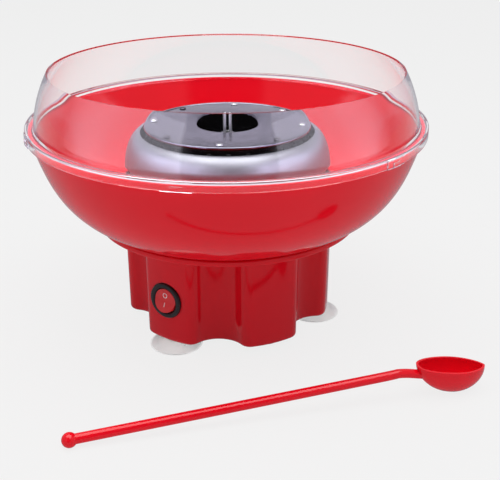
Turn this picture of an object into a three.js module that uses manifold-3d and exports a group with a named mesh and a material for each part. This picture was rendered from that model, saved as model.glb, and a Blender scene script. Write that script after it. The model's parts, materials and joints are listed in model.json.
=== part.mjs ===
// Household cotton candy machine with its sugar spoon.
// Millimetres, Z up. The table is at z = 0 and the machine's axis is the z axis.
// The six lobes of the base stand at 0, 60, 120 degrees and so on, and the front is the flute at -90.

import * as THREE from 'three';
import { mergeVertices } from 'three/addons/utils/BufferGeometryUtils.js';
import Module from 'manifold-3d';

const wasm = await Module();
wasm.setup();

// Clearances
const seatGap = 0.3; // between pieces that rest on or in each other
const slipGap = 0.4; // between pieces that lift off over each other

// Edges
const mouldedEdge = 1;
const fineEdge = 0.5;

// Smoothness
const largeRoundSteps = 40; // facets round the bowl and windshield
const mediumRoundSteps = 28; // round the head and the guard
const innerRoundSteps = 20; // round the heater's pieces
const smallRoundSteps = 16; // round the feet, shaft and switch
const motorRoundSteps = 12; // round the motor
const rivetSteps = 8;
const screwSteps = 6;
const softFillet = 2; // a fillet this large gets two facets, a smaller one a chamfer

// Base housing
const footHeight = 6; // the table to the underside of the base
const baseHeight = 73;
const lobeCount = 6;
const lobeRadius = 72.8;
const fluteCentreRadius = 77.3;
const fluteRadius = 17.5;
const lobeCornerRadius = 8.2;
const baseDraft = 0.4; // the foot of the wall stands this much further in than its top
const baseWall = 3;
const baseEdgeRadius = 2.6;
const rimRadius = 90.9;
const rimThickness = 3.8;
const rimEdge = 0.9;
const deckThickness = 3;
const deckOpeningRadius = 41;
const locatingRingRadius = 74.2;
const locatingRingWall = 2;
const locatingRingHeight = 5;

// Base plate and its screws
const plateThickness = 2.5;
const plateRecess = 0.6;
const plateScrewLobes = [1, 3, 5];
const plateBossRadius = 4.2;
const plateBossTop = 30;
const ventCount = 12;
const ventWidth = 3;
const ventInner = 9;
const ventOuter = 22;

// Screws
const screwRadius = 1.5;
const screwHeadRadius = 2.9;
const screwHeadHeight = 1.6;
const plateScrewLength = 14;
const guardScrewLength = 9;

// Suction feet
const footLobes = [0, 2, 4];
const footCircleRadius = 62.5;
const footRadius = 18;
const footRimWidth = 1.6;
const footRimHeight = 0.9;
const footShoulderRadius = 7;
const footNeckRadius = 3.5;
const footCavityHeight = 3.6;
const footCrown = 0.7; // how far the cup's flank bows above a straight cone
const footCrownRadius = 12;
const footShoulderDrop = 0.5; // the shoulder below the plate
const footButtonRadius = 5;
const footButtonHeight = 2.4;

// Motor
const motorBossRadius = 4.2;
const motorBossLength = 5.4;
const motorMountRadius = 47.5;
const bracketThickness = 2;
const bracketWidth = 22;
const bracketEdge = 3; // round the motor
const motorRadius = 19;
const motorHeight = 44;
const motorWall = 1.5;
const noseRadius = 7;
const noseHeight = 3;
const bearingRadius = 5.4;
const bearingHeight = 4;
const capThickness = 3.6;
const capPlug = 3;
const magnetThickness = 2.9;
const magnetHeight = 28;
const magnetSpread = 130; // degrees
const airGap = 0.7; // between magnets and armature
const armatureHeight = 26;
const armatureTeeth = 12;
const armatureSlotDepth = 5;
const armatureSlotWidth = 2.2;
const commutatorRadius = 5.5;
const commutatorHeight = 5;
const armatureStep = 1; // end cap to commutator, and commutator to core
const brushLength = 5;
const brushWidth = 3;

// Shaft
const shaftRadius = 3;
const shaftProud = 6.9; // above the head's top face
const shaftTipEdge = 0.7;
const slotWidth = 2;
const tipGrooveBelowTip = 2.6;
const tipGrooveDepth = 0.45;
const tipGrooveWidth = 0.9;
const collarRadius = 4.8;
const collarHeight = 2.2;

// Cooling fan
const fanRadius = 37;
const fanHubRadius = 6.5;
const fanHubHeight = 9;
const fanBlades = 6;
const fanBladeThickness = 1.3;
const fanBladeCamber = 0.5;
const fanChordAtHub = 10;
const fanChordAtTip = 22;
const fanHeight = 6; // its middle above the deck
const fanPitchAtHub = 48; // degrees
const fanPitchAtTip = 24;

// Heater pedestal
const pedestalRadius = 50;
const pedestalHeight = 31;
const pedestalWall = 2;
const pedestalFlangeRadius = 68.4;
const pedestalTopHole = 9;
const pedestalWindows = 6;
const windowHeight = 13;
const windowSpread = 24; // degrees

// Guard ring
const guardRadius = 71.2;
const guardOpeningRadius = 59.8;
const guardHeight = 56;
const guardDomeRise = 25.6;
const guardWall = 1;
const guardFootRadius = 57;
const guardScrewRadius = 61;
const guardScrewLobes = [0, 2, 4];

// Heater pan, element and supports
const panThickness = 1;
const panHole = 10;
const panFloorRadius = 50;
const panTroughInner = 56.5;
const panTroughOuter = 67.6;
const panTroughRise = 5.6; // the trough's floor above the pan's
const panRimHeight = 5;
const panSlopeShift = 0.4; // keeps the slope's wall as thick as the floor
const elementRadius = 61.6;
const elementTubeRadius = 2.8;
const elementHeight = 6.4; // the tube's centre above the trough's floor
const elementLegAngle = 172; // degrees, one leg each side of 180
const elementLegLength = 20;
const elementBend = 6;
const elementLegGap = 1.2; // round each leg where it passes the pan
const supportAngles = [30, 150, 270];
const supportWidth = 5;
const supportBelowCentre = 1.2; // its top below the tube's centre
const supportLength = 7.4;
const cutoutRadius = 7.9;
const cutoutHeight = 5;
const cutoutStep = 1.5;
const cutoutOffset = 28;
const cutoutAngle = 45; // degrees

// Spinning head, measured down from its top face
const headProud = 4.8; // the top face above the guard's opening
const discRadius = 57.2;
const discThickness = 1.2;
const discEdgeDepth = 2.4;
const discEdgeWidth = 2.2;
const discStep = 0.5; // the flat inside the rolled edge lies lower
const wellRadius = 21;
const wellWall = 1.1;
const wellDepth = 12.4;
const bandRadius = 56;
const bandWall = 1.2;
const bandBottom = 16.5;
const bandSlots = 28;
const bandSlotWidth = 3;
const bandSlotHeight = 9;
const panDiscThickness = 1.2;
const sugarConeRadius = 18;
const sugarConeRise = 5.4;
const sugarConeLip = 0.8;
const hubTop = 6.3;
const hubRadius = 4.3;
const hubFlangeRadius = 12;
const hubFlangeThickness = 1.2;
const drivePinRadius = 0.7;
const drivePinBelowHub = 1.5;
const rivetCount = 8;
const rivetCircleRadius = 51;
const rivetRadius = 1.4;
const rivetHeadRadius = 2.4;
const rivetHeadHeight = 1.1;
const rivetCrown = 0.75; // the crown's width to the head's
const headTurn = 0; // degrees, the first rivet from +X
const pinTurn = 96; // degrees, the way the shaft's slot runs

// Bowl, measured up from its seat
const bowlHeight = 64.8;
const bowlWall = 2.3;
const bowlRimRadius = 133.3;
const bowlRimBand = 1.1; // straight height of the rim
const bowlEdgeRadius = 91.8; // where the bottom turns up into the wall
const bowlEdgeRise = 0.7;
const bowlFootRadius = 87.5;
const bowlUpperPull = [8.5, 28.2]; // the wall's curve, in and down from the rim
const bowlLowerPull = [27.2, 15.1]; // and out and up from the bottom edge
const bowlCollarWall = 2.4;
const bowlCollarHeight = 12.5;
const bowlCurveSteps = 6;

// Windshield, measured up from the bowl's rim
const flangeThickness = 1.8;
const skirtRadius = 135.5;
const skirtWall = 1.8;
const skirtDrop = 4.2; // the skirt below the flange's underside
const shieldHeight = 35; // the wall above the flange
const shieldFootRadius = 129.9;
const shieldTopRadius = 118.8;
const shieldBulge = 1.8;
const shieldWall = 1.6;
const shieldCurveSteps = 3;
const ledgeBeadHeight = 0.5;
const ledgeBeadWidth = 1.6;
const ledgeBeadSlope = 0.4;
const centringRibWall = 1.2;
const centringRibDrop = 1.6;
const clipCount = 6;
const clipTurn = -96.5; // degrees, the first clip
const clipWidth = 18.7;
const clipProud = 0.6;
const tabWidth = 7.6;
const tabHeight = 3.5;
const tabProud = 1;

// Switch
const switchLobeAngle = -120; // degrees
const switchHeight = 36.7;
const switchSeatDepth = 1.2; // the flat seat below the lobe's crown
const bezelRadius = 12.4;
const bezelThickness = 2.6;
const switchBodyRadius = 10;
const switchBodyDepth = 14;
const rockerRadius = 8.5;
const rockerWellDepth = 9.6;
const rockerPivotDepth = 1.8;
const rockerCrown = 1;
const rockerAngle = 11; // degrees each way
const rockerBack = 3.2;
const terminalWidth = 6.3;
const terminalThickness = 0.8;
const terminalLength = 7;
const terminalOffset = 4;

// Cord gland
const glandAngle = 90; // degrees
const glandHeight = 22;
const glandNeckRadius = 6.2;
const glandFlangeRadius = 8;
const glandFlangeThickness = 2.4;
const glandBore = 3.8;
const glandSeatDepth = 0.2; // spot face below the flute's floor
const glandLockRadius = 7.6;
const glandLockThickness = 1.8;

// Rectifier board
const boardOffset = 38;
const boardWidth = 24;
const boardLength = 36;
const boardThickness = 1.6;
const standoffHeight = 4.6;
const standoffRadius = 2.6;
const standoffInset = 3.5;
const capacitorRadius = 5;
const capacitorHeight = 13;
const capacitorPlace = [3, -9]; // from the board's middle
const diodeRadius = 1.8;
const diodeLength = 7;
const diodeCount = 4;
const diodePitch = 4;

// Sugar spoon, lying on the table
const spoonTurn = 18.8; // degrees, from ball end to scoop
const spoonBallPlace = [-74.2, -178.6];
const ballRadius = 4.6;
const handleRadiusAtBall = 3.1;
const handleRadiusAtNeck = 2.8;
const neckDistance = 206;
const neckHeight = 17.9;
const scoopDistance = 235.8;
const scoopRimHeight = 18.2;
const scoopDip = 7.2; // degrees, the rim slopes down towards its tip
const scoopLength = 46.7;
const scoopWidth = 22.2;
const scoopWall = 1.5;
const scoopTipPower = 1.35; // over 1 draws the rim's far end to a point
const scoopHandlePower = 0.86; // under 1 makes the rim's near end blunt
const scoopBottomSet = 4; // the bottom lies this far towards the tip
const scoopBottomShare = 0.12; // the flat at the bottom, as a share of the rim
const neckBend = 6; // the handle bends this far before the neck
const neckOverlap = [5, -3.3]; // where the handle ends, in and down from the near rim

// Heights that follow
const baseBottom = footHeight;
const deckTop = baseBottom + baseHeight;
const deckUnder = deckTop - deckThickness;
const rimUnder = deckTop - rimThickness;
const plateBottom = baseBottom + plateRecess;
const plateTop = plateBottom + plateThickness;
const bracketTop = deckUnder - motorBossLength - seatGap;
const motorTop = bracketTop - bracketThickness - seatGap;
const motorBottom = motorTop - motorHeight;
const pedestalSeat = deckTop + seatGap;
const pedestalTop = pedestalSeat + pedestalHeight;
const guardSeat = pedestalSeat + pedestalWall + seatGap;
const guardTop = guardSeat + guardHeight;
const panSeat = pedestalTop + seatGap;
const troughFloor = panSeat + panTroughRise + panThickness;
const headTop = guardTop + headProud;
const headBottomUnder = bandBottom + seatGap + panDiscThickness;
const hubBottom = headBottomUnder + seatGap + hubFlangeThickness;
const pinDepth = hubTop + drivePinBelowHub;
const shaftTop = headTop + shaftProud;
const bowlSeat = deckTop + seatGap;
const shieldSeat = bowlSeat + bowlHeight + seatGap;

// Materials
const redPlastic = new THREE.MeshStandardMaterial({ color: 0xcf1f30, roughness: 0.22, metalness: 0 });
const redRocker = new THREE.MeshStandardMaterial({ color: 0xd0252f, roughness: 0.3, metalness: 0 });
const clearPlastic = new THREE.MeshStandardMaterial({
  color: 0xf2f4f6, roughness: 0.05, metalness: 0, transparent: true, opacity: 0.25,
});
const footPlastic = new THREE.MeshStandardMaterial({
  color: 0xe6e8e8, roughness: 0.25, metalness: 0, transparent: true, opacity: 0.6,
});
const blackPlastic = new THREE.MeshStandardMaterial({ color: 0x1c1b20, roughness: 0.4, metalness: 0 });
const headMetal = new THREE.MeshStandardMaterial({ color: 0x4a4850, roughness: 0.35, metalness: 0.7 });
const polishedMetal = new THREE.MeshStandardMaterial({ color: 0xc8c8cf, roughness: 0.12, metalness: 1 });
const brightSteel = new THREE.MeshStandardMaterial({ color: 0xd8d8dc, roughness: 0.2, metalness: 1 });
const dullSteel = new THREE.MeshStandardMaterial({ color: 0x9a9ca0, roughness: 0.45, metalness: 1 });
const ceramic = new THREE.MeshStandardMaterial({ color: 0xe9e4d8, roughness: 0.7, metalness: 0 });
const magnetBlack = new THREE.MeshStandardMaterial({ color: 0x2b2b2e, roughness: 0.8, metalness: 0 });
const brass = new THREE.MeshStandardMaterial({ color: 0xc9a24a, roughness: 0.35, metalness: 1 });
const boardBrown = new THREE.MeshStandardMaterial({ color: 0x8a6a3c, roughness: 0.7, metalness: 0 });

const degree = Math.PI / 180;

function polar(radius, angle, height = 0) {
  return new THREE.Vector3(radius * Math.cos(angle), radius * Math.sin(angle), height);
}

// Points along an arc about a place, both ends included
function arcPoints(place, radius, from, to, steps) {
  return Array.from({ length: steps + 1 }, (_, s) => {
    const point = polar(radius, from + ((to - from) * s) / steps).add(place);
    return new THREE.Vector2(point.x, point.y);
  });
}

// Shared vertices merged, flat triangles dropped, faces out
function tidy(geometry) {
  const bare = new THREE.BufferGeometry();
  bare.setAttribute('position', geometry.getAttribute('position').clone());
  bare.setIndex(geometry.getIndex() ? geometry.getIndex().clone() : null);
  const merged = mergeVertices(bare, 1e-4);
  const old = merged.getIndex().array;
  const index = [];
  for (let i = 0; i < old.length; i += 3) {
    const [a, b, c] = [old[i], old[i + 1], old[i + 2]];
    if (a !== b && b !== c && c !== a) index.push(a, b, c);
  }
  merged.setIndex(index);
  if (enclosedVolume(merged) < 0) {
    const flipped = [];
    for (let i = 0; i < index.length; i += 3) flipped.push(index[i], index[i + 2], index[i + 1]);
    merged.setIndex(flipped);
  }
  return merged;
}

function enclosedVolume(geometry) {
  const position = geometry.getAttribute('position');
  const index = geometry.getIndex().array;
  const corner = [new THREE.Vector3(), new THREE.Vector3(), new THREE.Vector3()];
  let total = 0;
  for (let i = 0; i < index.length; i += 3) {
    corner.forEach((v, k) => v.fromBufferAttribute(position, index[i + k]));
    total += corner[0].dot(corner[1].clone().cross(corner[2])) / 6;
  }
  return total;
}

function toSolid(geometry) {
  const closed = tidy(geometry);
  return new wasm.Manifold(new wasm.Mesh({
    numProp: 3,
    vertProperties: new Float32Array(closed.getAttribute('position').array),
    triVerts: new Uint32Array(closed.getIndex().array),
  }));
}

function fromSolid(solid) {
  const mesh = solid.getMesh();
  const geometry = new THREE.BufferGeometry();
  geometry.setAttribute('position', new THREE.BufferAttribute(new Float32Array(mesh.vertProperties), 3));
  geometry.setIndex(new THREE.BufferAttribute(new Uint32Array(mesh.triVerts), 1));
  return tidy(geometry);
}

function joined(first, ...others) {
  let solid = toSolid(first);
  for (const other of others) solid = solid.add(toSolid(other));
  return fromSolid(solid);
}

function cut(body, ...tools) {
  let solid = toSolid(body);
  for (const tool of tools) solid = solid.subtract(toSolid(tool));
  return fromSolid(solid);
}

function common(first, second) {
  return fromSolid(toSolid(first).intersect(toSolid(second)));
}

// Turns corners of [radius, height, fillet] into points, with an arc at each corner that has a fillet
function rounded(corners) {
  const points = [];
  corners.forEach(([r, z, fillet], i) => {
    const here = new THREE.Vector2(r, z);
    const before = corners[(i + corners.length - 1) % corners.length];
    const after = corners[(i + 1) % corners.length];
    const toBefore = new THREE.Vector2(before[0], before[1]).sub(here);
    const toAfter = new THREE.Vector2(after[0], after[1]).sub(here);
    if (!fillet) {
      points.push(here);
      return;
    }
    const room = Math.min(toBefore.length(), toAfter.length()) / 2;
    toBefore.normalize();
    toAfter.normalize();
    const half = Math.acos(THREE.MathUtils.clamp(toBefore.dot(toAfter), -1, 1)) / 2;
    const reach = Math.min(fillet / Math.tan(half), room);
    const radius = reach * Math.tan(half);
    const middle = toBefore.clone().add(toAfter).normalize();
    const centre = here.clone().addScaledVector(middle, radius / Math.sin(half));
    const start = here.clone().addScaledVector(toBefore, reach).sub(centre);
    const end = here.clone().addScaledVector(toAfter, reach).sub(centre);
    const sweep = Math.atan2(start.cross(end), start.dot(end));
    const steps = fillet < softFillet ? 1 : 2;
    for (let s = 0; s <= steps; s += 1) {
      points.push(start.clone().rotateAround(new THREE.Vector2(), (sweep * s) / steps).add(centre));
    }
  });
  return points;
}

// Points of an arc from a to b that bows to the left of the way from a to b by the given height
function bowed(a, b, bulge, steps) {
  const from = new THREE.Vector2(...a);
  const to = new THREE.Vector2(...b);
  const half = from.distanceTo(to) / 2;
  const radius = (half * half + bulge * bulge) / (2 * bulge);
  const along = to.clone().sub(from).normalize();
  const left = new THREE.Vector2(-along.y, along.x);
  const centre = from.clone().add(to).multiplyScalar(0.5).addScaledVector(left, bulge - radius);
  const start = from.clone().sub(centre);
  const end = to.clone().sub(centre);
  const sweep = Math.atan2(start.cross(end), start.dot(end));
  const points = [];
  for (let s = 0; s <= steps; s += 1) {
    const point = start.clone().rotateAround(new THREE.Vector2(), (sweep * s) / steps).add(centre);
    points.push([point.x, point.y]);
  }
  return points;
}

// The same run of points moved sideways to its right by a wall's thickness
function offsetRun(points, distance) {
  return points.map(([x, y], i) => {
    const before = points[Math.max(i - 1, 0)];
    const after = points[Math.min(i + 1, points.length - 1)];
    const along = new THREE.Vector2(after[0] - before[0], after[1] - before[1]).normalize();
    return [x + along.y * distance, y - along.x * distance];
  });
}

// A turned piece: its profile either ends on the axis at both ends or closes on itself
function turned(corners, steps) {
  const points = rounded(corners);
  const onAxis = points[0].x < 1e-6 && points[points.length - 1].x < 1e-6;
  if (!onAxis) points.push(points[0].clone());
  const geometry = new THREE.LatheGeometry(points, steps);
  geometry.rotateX(Math.PI / 2);
  return tidy(geometry);
}

function rod(radius, bottom, top, steps = screwSteps) {
  const geometry = new THREE.CylinderGeometry(radius, radius, top - bottom, steps);
  geometry.rotateX(Math.PI / 2);
  geometry.translate(0, 0, (top + bottom) / 2);
  return geometry;
}

// A rod for a hole, whose flats stand at the radius
function bore(radius, bottom, top, steps = screwSteps) {
  return rod(radius / Math.cos(Math.PI / steps), bottom, top, steps);
}

function moved(geometry, place) {
  return geometry.clone().translate(place.x, place.y, place.z);
}

function extruded(shape, bottom, top) {
  const geometry = new THREE.ExtrudeGeometry(shape, {
    depth: top - bottom, bevelEnabled: false, steps: 1,
  });
  geometry.translate(0, 0, bottom);
  return geometry;
}

// A block between two radii and two heights, centred on an angle
function ringBlock(inner, outer, angle, width, bottom, top) {
  const half = width / 2 / outer;
  const axis = new THREE.Vector3();
  const steps = Math.max(1, Math.round((half * largeRoundSteps) / Math.PI));
  return extruded(new THREE.Shape([
    ...arcPoints(axis, outer, angle - half, angle + half, steps),
    ...arcPoints(axis, inner, angle + half, angle - half, steps),
  ]), bottom, top);
}

// A solid through rings with the same number of points. A capped one has flat or pointed ends,
// and any other closes from its last ring to its first.
function loft(rings, capped) {
  const count = rings[0].length;
  const points = rings.flat();
  const index = [];
  const spans = capped ? rings.length - 1 : rings.length;
  for (let i = 0; i < spans; i += 1) {
    const next = (i + 1) % rings.length;
    for (let j = 0; j < count; j += 1) {
      const k = (j + 1) % count;
      const [a, b, c, d] = [i * count + j, i * count + k, next * count + k, next * count + j];
      index.push(a, b, c, a, c, d);
    }
  }
  if (capped) {
    [0, rings.length - 1].forEach((ring, end) => {
      const centre = new THREE.Vector3();
      rings[ring].forEach((p) => centre.addScaledVector(p, 1 / count));
      points.push(centre);
      for (let j = 0; j < count; j += 1) {
        const [a, b] = [ring * count + j, ring * count + ((j + 1) % count)];
        if (end === 0) index.push(b, a, points.length - 1);
        else index.push(a, b, points.length - 1);
      }
    });
  }
  const geometry = new THREE.BufferGeometry();
  const numbers = points.flatMap((p) => [p.x, p.y, p.z]);
  geometry.setAttribute('position', new THREE.Float32BufferAttribute(numbers, 3));
  geometry.setIndex(index);
  return tidy(geometry);
}

const lobeAngle = (lobe) => (lobe * 2 * Math.PI) / lobeCount;

// The fluted outline, drawn in by an inset: lobes about the axis, round corners, concave flutes
function flutedOutline(inset) {
  const lobeSteps = 2;
  const cornerSteps = 2;
  const fluteSteps = 4;
  const cornerCentre = lobeRadius - lobeCornerRadius;
  const reach = fluteRadius + lobeCornerRadius;
  const lean = Math.acos(
    (fluteCentreRadius ** 2 + cornerCentre ** 2 - reach ** 2) / (2 * fluteCentreRadius * cornerCentre),
  );
  const pitch = (2 * Math.PI) / lobeCount;
  const points = [];
  const arc = (centre, radius, from, to, steps) => {
    const sweep = Math.atan2(Math.sin(to - from), Math.cos(to - from));
    for (let s = 0; s < steps; s += 1) {
      points.push(polar(radius, from + (sweep * s) / steps).add(centre));
    }
  };
  const heading = (from, to) => Math.atan2(to.y - from.y, to.x - from.x);
  for (let lobe = 0; lobe < lobeCount; lobe += 1) {
    const middle = lobe * pitch;
    const [startAngle, endAngle] = [middle - pitch / 2 + lean, middle + pitch / 2 - lean];
    const startCorner = polar(cornerCentre, startAngle);
    const endCorner = polar(cornerCentre, endAngle);
    const nextCorner = polar(cornerCentre, startAngle + pitch);
    const fluteBefore = polar(fluteCentreRadius, middle - pitch / 2);
    const fluteAfter = polar(fluteCentreRadius, middle + pitch / 2);
    const corner = lobeCornerRadius - inset;
    const flute = fluteRadius + inset;
    arc(startCorner, corner, heading(startCorner, fluteBefore), startAngle, cornerSteps);
    arc(new THREE.Vector3(), lobeRadius - inset, startAngle, endAngle, lobeSteps);
    arc(endCorner, corner, endAngle, heading(endCorner, fluteAfter), cornerSteps);
    arc(fluteAfter, flute, heading(fluteAfter, endCorner), heading(fluteAfter, nextCorner), fluteSteps);
  }
  return points;
}

function flutedRing(inset, height) {
  return flutedOutline(inset).map((p) => new THREE.Vector3(p.x, p.y, height));
}

// A round ring with its points at the fluted outline's angles
function roundRing(radius, height) {
  return flutedOutline(0).map((p) => polar(radius, Math.atan2(p.y, p.x), height));
}

// Puts a group's z axis along the outward direction at an angle, with its y axis up
function faceOutward(group, radius, angle, height) {
  group.position.copy(polar(radius, angle, height));
  group.rotation.set(Math.PI / 2, 0, angle + Math.PI / 2, 'ZXY');
}

function facedOutward(geometry, radius, angle, height) {
  const holder = new THREE.Group();
  faceOutward(holder, radius, angle, height);
  holder.updateMatrix();
  return geometry.clone().applyMatrix4(holder.matrix);
}

const plateScrewRadius = lobeRadius - baseDraft - baseWall - plateBossRadius + 1;
// How far the wall's outside and inside stand in from its top outline at a height
const outsideInset = (height) => (baseDraft * (rimUnder - height)) / (rimUnder - baseBottom - baseEdgeRadius);
const insideInset = (height) => baseWall + (baseDraft * (deckUnder - height)) / (deckUnder - baseBottom);
const switchSeatRadius = lobeRadius - outsideInset(switchHeight) - switchSeatDepth;
const fluteFloorRadius = fluteCentreRadius - fluteRadius;
const glandSeatRadius = fluteFloorRadius - outsideInset(glandHeight) - glandSeatDepth;
const glandWall = glandSeatRadius - (fluteFloorRadius - insideInset(glandHeight));

// One moulding: fluted wall, round rim, deck, locating ring and screw bosses
function baseHousing() {
  const rings = [];
  const edgeSteps = 2;
  for (let s = 0; s <= edgeSteps; s += 1) {
    const turn = ((Math.PI / 2) * s) / edgeSteps;
    const inset = baseDraft + baseEdgeRadius * (1 - Math.sin(turn));
    rings.push(flutedRing(inset, baseBottom + baseEdgeRadius * (1 - Math.cos(turn))));
  }
  rings.push(flutedRing(0, rimUnder));
  rings.push(roundRing(rimRadius - rimEdge, rimUnder));
  rings.push(roundRing(rimRadius, rimUnder + rimEdge));
  rings.push(roundRing(rimRadius, deckTop - rimEdge));
  rings.push(roundRing(rimRadius - rimEdge, deckTop));
  rings.push(roundRing(locatingRingRadius, deckTop));
  rings.push(roundRing(locatingRingRadius, deckTop + locatingRingHeight));
  rings.push(roundRing(locatingRingRadius - locatingRingWall, deckTop + locatingRingHeight));
  rings.push(roundRing(locatingRingRadius - locatingRingWall, deckTop));
  rings.push(roundRing(deckOpeningRadius, deckTop));
  rings.push(roundRing(deckOpeningRadius, deckUnder));
  rings.push(flutedRing(baseWall, deckUnder));
  rings.push(flutedRing(baseDraft + baseWall, baseBottom));
  const bosses = plateScrewLobes.map((lobe) => moved(
    rod(plateBossRadius, plateTop + seatGap, plateBossTop, motorRoundSteps),
    polar(plateScrewRadius, lobeAngle(lobe)),
  ));
  const motorBosses = [0, Math.PI].map((angle) => moved(
    rod(motorBossRadius, deckUnder - motorBossLength, deckUnder + deckThickness / 2, motorRoundSteps),
    polar(motorMountRadius, angle),
  ));
  const holes = [
    ...plateScrewLobes.map((lobe) => moved(
      bore(screwRadius + seatGap, 0, plateBossTop - deckThickness),
      polar(plateScrewRadius, lobeAngle(lobe)),
    )),
    ...[0, Math.PI].map((angle) => moved(
      bore(screwRadius + seatGap, bracketTop, deckUnder + deckThickness / 2),
      polar(motorMountRadius, angle),
    )),
    ...guardScrewLobes.map((lobe) => moved(
      bore(screwRadius + seatGap, deckUnder - deckThickness, deckTop + deckThickness),
      polar(guardScrewRadius, lobeAngle(lobe)),
    )),
    facedOutward(
      bore(bezelRadius + slipGap, 0, baseWall, smallRoundSteps),
      switchSeatRadius, switchLobeAngle * degree, switchHeight,
    ),
    facedOutward(
      bore(switchBodyRadius + seatGap, -switchBodyDepth, baseWall, smallRoundSteps),
      switchSeatRadius, switchLobeAngle * degree, switchHeight,
    ),
    facedOutward(
      bore(glandFlangeRadius + slipGap, 0, 3 * baseWall, smallRoundSteps),
      glandSeatRadius, glandAngle * degree, glandHeight,
    ),
    facedOutward(
      bore(glandNeckRadius + seatGap, -2 * baseWall, baseWall, smallRoundSteps),
      glandSeatRadius, glandAngle * degree, glandHeight,
    ),
  ];
  return cut(joined(loft(rings, false), ...bosses, ...motorBosses), ...holes);
}

function slotHole(inner, outer, width, angle) {
  const side = width / 2;
  const start = polar(inner + side, angle);
  const end = polar(outer - side, angle);
  const quarter = Math.PI / 2;
  return new THREE.Path([
    ...arcPoints(start, side, angle + quarter, angle + 3 * quarter, 2),
    ...arcPoints(end, side, angle - quarter, angle + quarter, 2),
  ]);
}

// A hole whose flats stand at the radius
function roundHole(radius, place, steps = screwSteps) {
  const points = arcPoints(place, radius / Math.cos(Math.PI / steps), 0, 2 * Math.PI, steps);
  return new THREE.Path(points.slice(0, steps));
}

const standoffPlaces = [-1, 1].flatMap((x) => [-1, 1].map((y) => new THREE.Vector3(
  boardOffset + x * (boardWidth / 2 - standoffInset), y * (boardLength / 2 - standoffInset), 0,
)));

function basePlate() {
  const outline = flutedOutline(baseDraft + baseWall + seatGap).map(({ x, y }) => new THREE.Vector2(x, y));
  const shape = new THREE.Shape(outline);
  footLobes.forEach((lobe) => {
    const place = polar(footCircleRadius, lobeAngle(lobe));
    shape.holes.push(roundHole(footNeckRadius + seatGap, place, smallRoundSteps));
  });
  plateScrewLobes.forEach((lobe) => {
    shape.holes.push(roundHole(screwRadius + seatGap, polar(plateScrewRadius, lobeAngle(lobe))));
  });
  for (let vent = 0; vent < ventCount; vent += 1) {
    shape.holes.push(slotHole(ventInner, ventOuter, ventWidth, (vent * 2 * Math.PI) / ventCount));
  }
  const standoffs = standoffPlaces.map((place) => moved(
    rod(standoffRadius, plateTop - plateThickness / 2, plateTop + standoffHeight), place,
  ));
  return joined(extruded(shape, plateBottom, plateTop), ...standoffs);
}

function suctionFoot() {
  const shoulder = plateBottom - seatGap - footShoulderDrop;
  const buttonSeat = plateTop + seatGap;
  return turned([
    [0, footCavityHeight],
    [footShoulderRadius, footCavityHeight],
    [footRadius - footRimWidth, 0],
    [footRadius, 0],
    [footRadius, footRimHeight],
    [(footRadius + footShoulderRadius) / 2, (shoulder + footRimHeight) / 2 + footCrown, footCrownRadius],
    [footShoulderRadius, shoulder, mouldedEdge],
    [footNeckRadius, shoulder],
    [footNeckRadius, buttonSeat],
    [footButtonRadius, buttonSeat],
    [footButtonRadius, buttonSeat + footButtonHeight, mouldedEdge],
    [0, buttonSeat + footButtonHeight],
  ], smallRoundSteps);
}

// A pan-head screw whose head bears upward at z = 0
function screw(length) {
  return turned([
    [0, -screwHeadHeight],
    [screwHeadRadius, -screwHeadHeight],
    [screwHeadRadius, 0],
    [screwRadius, 0],
    [screwRadius, length - screwRadius],
    [0, length],
  ], screwSteps);
}

function motorBracket() {
  const axis = new THREE.Vector3();
  const end = bracketWidth / 2;
  const middle = motorRadius + bracketEdge;
  const spread = Math.asin(end / middle);
  const quarter = Math.PI / 2;
  const shape = new THREE.Shape([
    ...arcPoints(polar(motorMountRadius, 0), end, -quarter, quarter, 4),
    ...arcPoints(axis, middle, spread, Math.PI - spread, 4),
    ...arcPoints(polar(motorMountRadius, Math.PI), end, quarter, 3 * quarter, 4),
    ...arcPoints(axis, middle, Math.PI + spread, 2 * Math.PI - spread, 4),
  ]);
  shape.holes.push(roundHole(noseRadius + seatGap, axis, motorRoundSteps));
  [0, Math.PI].forEach((angle) => {
    shape.holes.push(roundHole(screwRadius + seatGap, polar(motorMountRadius, angle)));
  });
  return extruded(shape, bracketTop - bracketThickness, bracketTop);
}

function motorCan() {
  const inner = motorRadius - motorWall;
  const sleeve = bearingRadius + seatGap;
  return turned([
    [motorRadius, motorBottom],
    [motorRadius, motorTop, mouldedEdge],
    [noseRadius, motorTop],
    [noseRadius, motorTop + noseHeight],
    [sleeve, motorTop + noseHeight],
    [sleeve, motorTop - motorWall],
    [inner, motorTop - motorWall],
    [inner, motorBottom],
  ], motorRoundSteps);
}

const motorBoreFlat = (motorRadius - motorWall) * Math.cos(Math.PI / motorRoundSteps);
const capTop = motorBottom - seatGap;
const capFloor = capTop - capThickness;

// End cap with a bearing pocket and two posts that hold the brushes
function motorEndCap() {
  const pocket = bearingRadius + seatGap;
  const plug = motorRadius - motorWall - seatGap;
  const cap = turned([
    [0, capFloor],
    [motorRadius, capFloor],
    [motorRadius, capTop],
    [plug, capTop],
    [plug, capTop + capPlug],
    [pocket, capTop + capPlug],
    [pocket, capTop + capPlug - bearingHeight - seatGap],
    [0, capTop + capPlug - bearingHeight - seatGap],
  ], motorRoundSteps);
  const holders = [-1, 1].map((side) => {
    const inner = commutatorRadius + seatGap + brushLength + seatGap;
    const outer = plug - magnetThickness - seatGap;
    const post = new THREE.BoxGeometry(outer - inner, brushWidth * 2, capPlug + commutatorHeight);
    return post.translate((side * (inner + outer)) / 2, 0, capTop + (capPlug + commutatorHeight) / 2);
  });
  return joined(cap, ...holders);
}

const commutatorBottom = capTop + capPlug + armatureStep;
const armatureBottom = commutatorBottom + commutatorHeight + armatureStep;
const magnetMiddle = armatureBottom + armatureHeight / 2;

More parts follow.
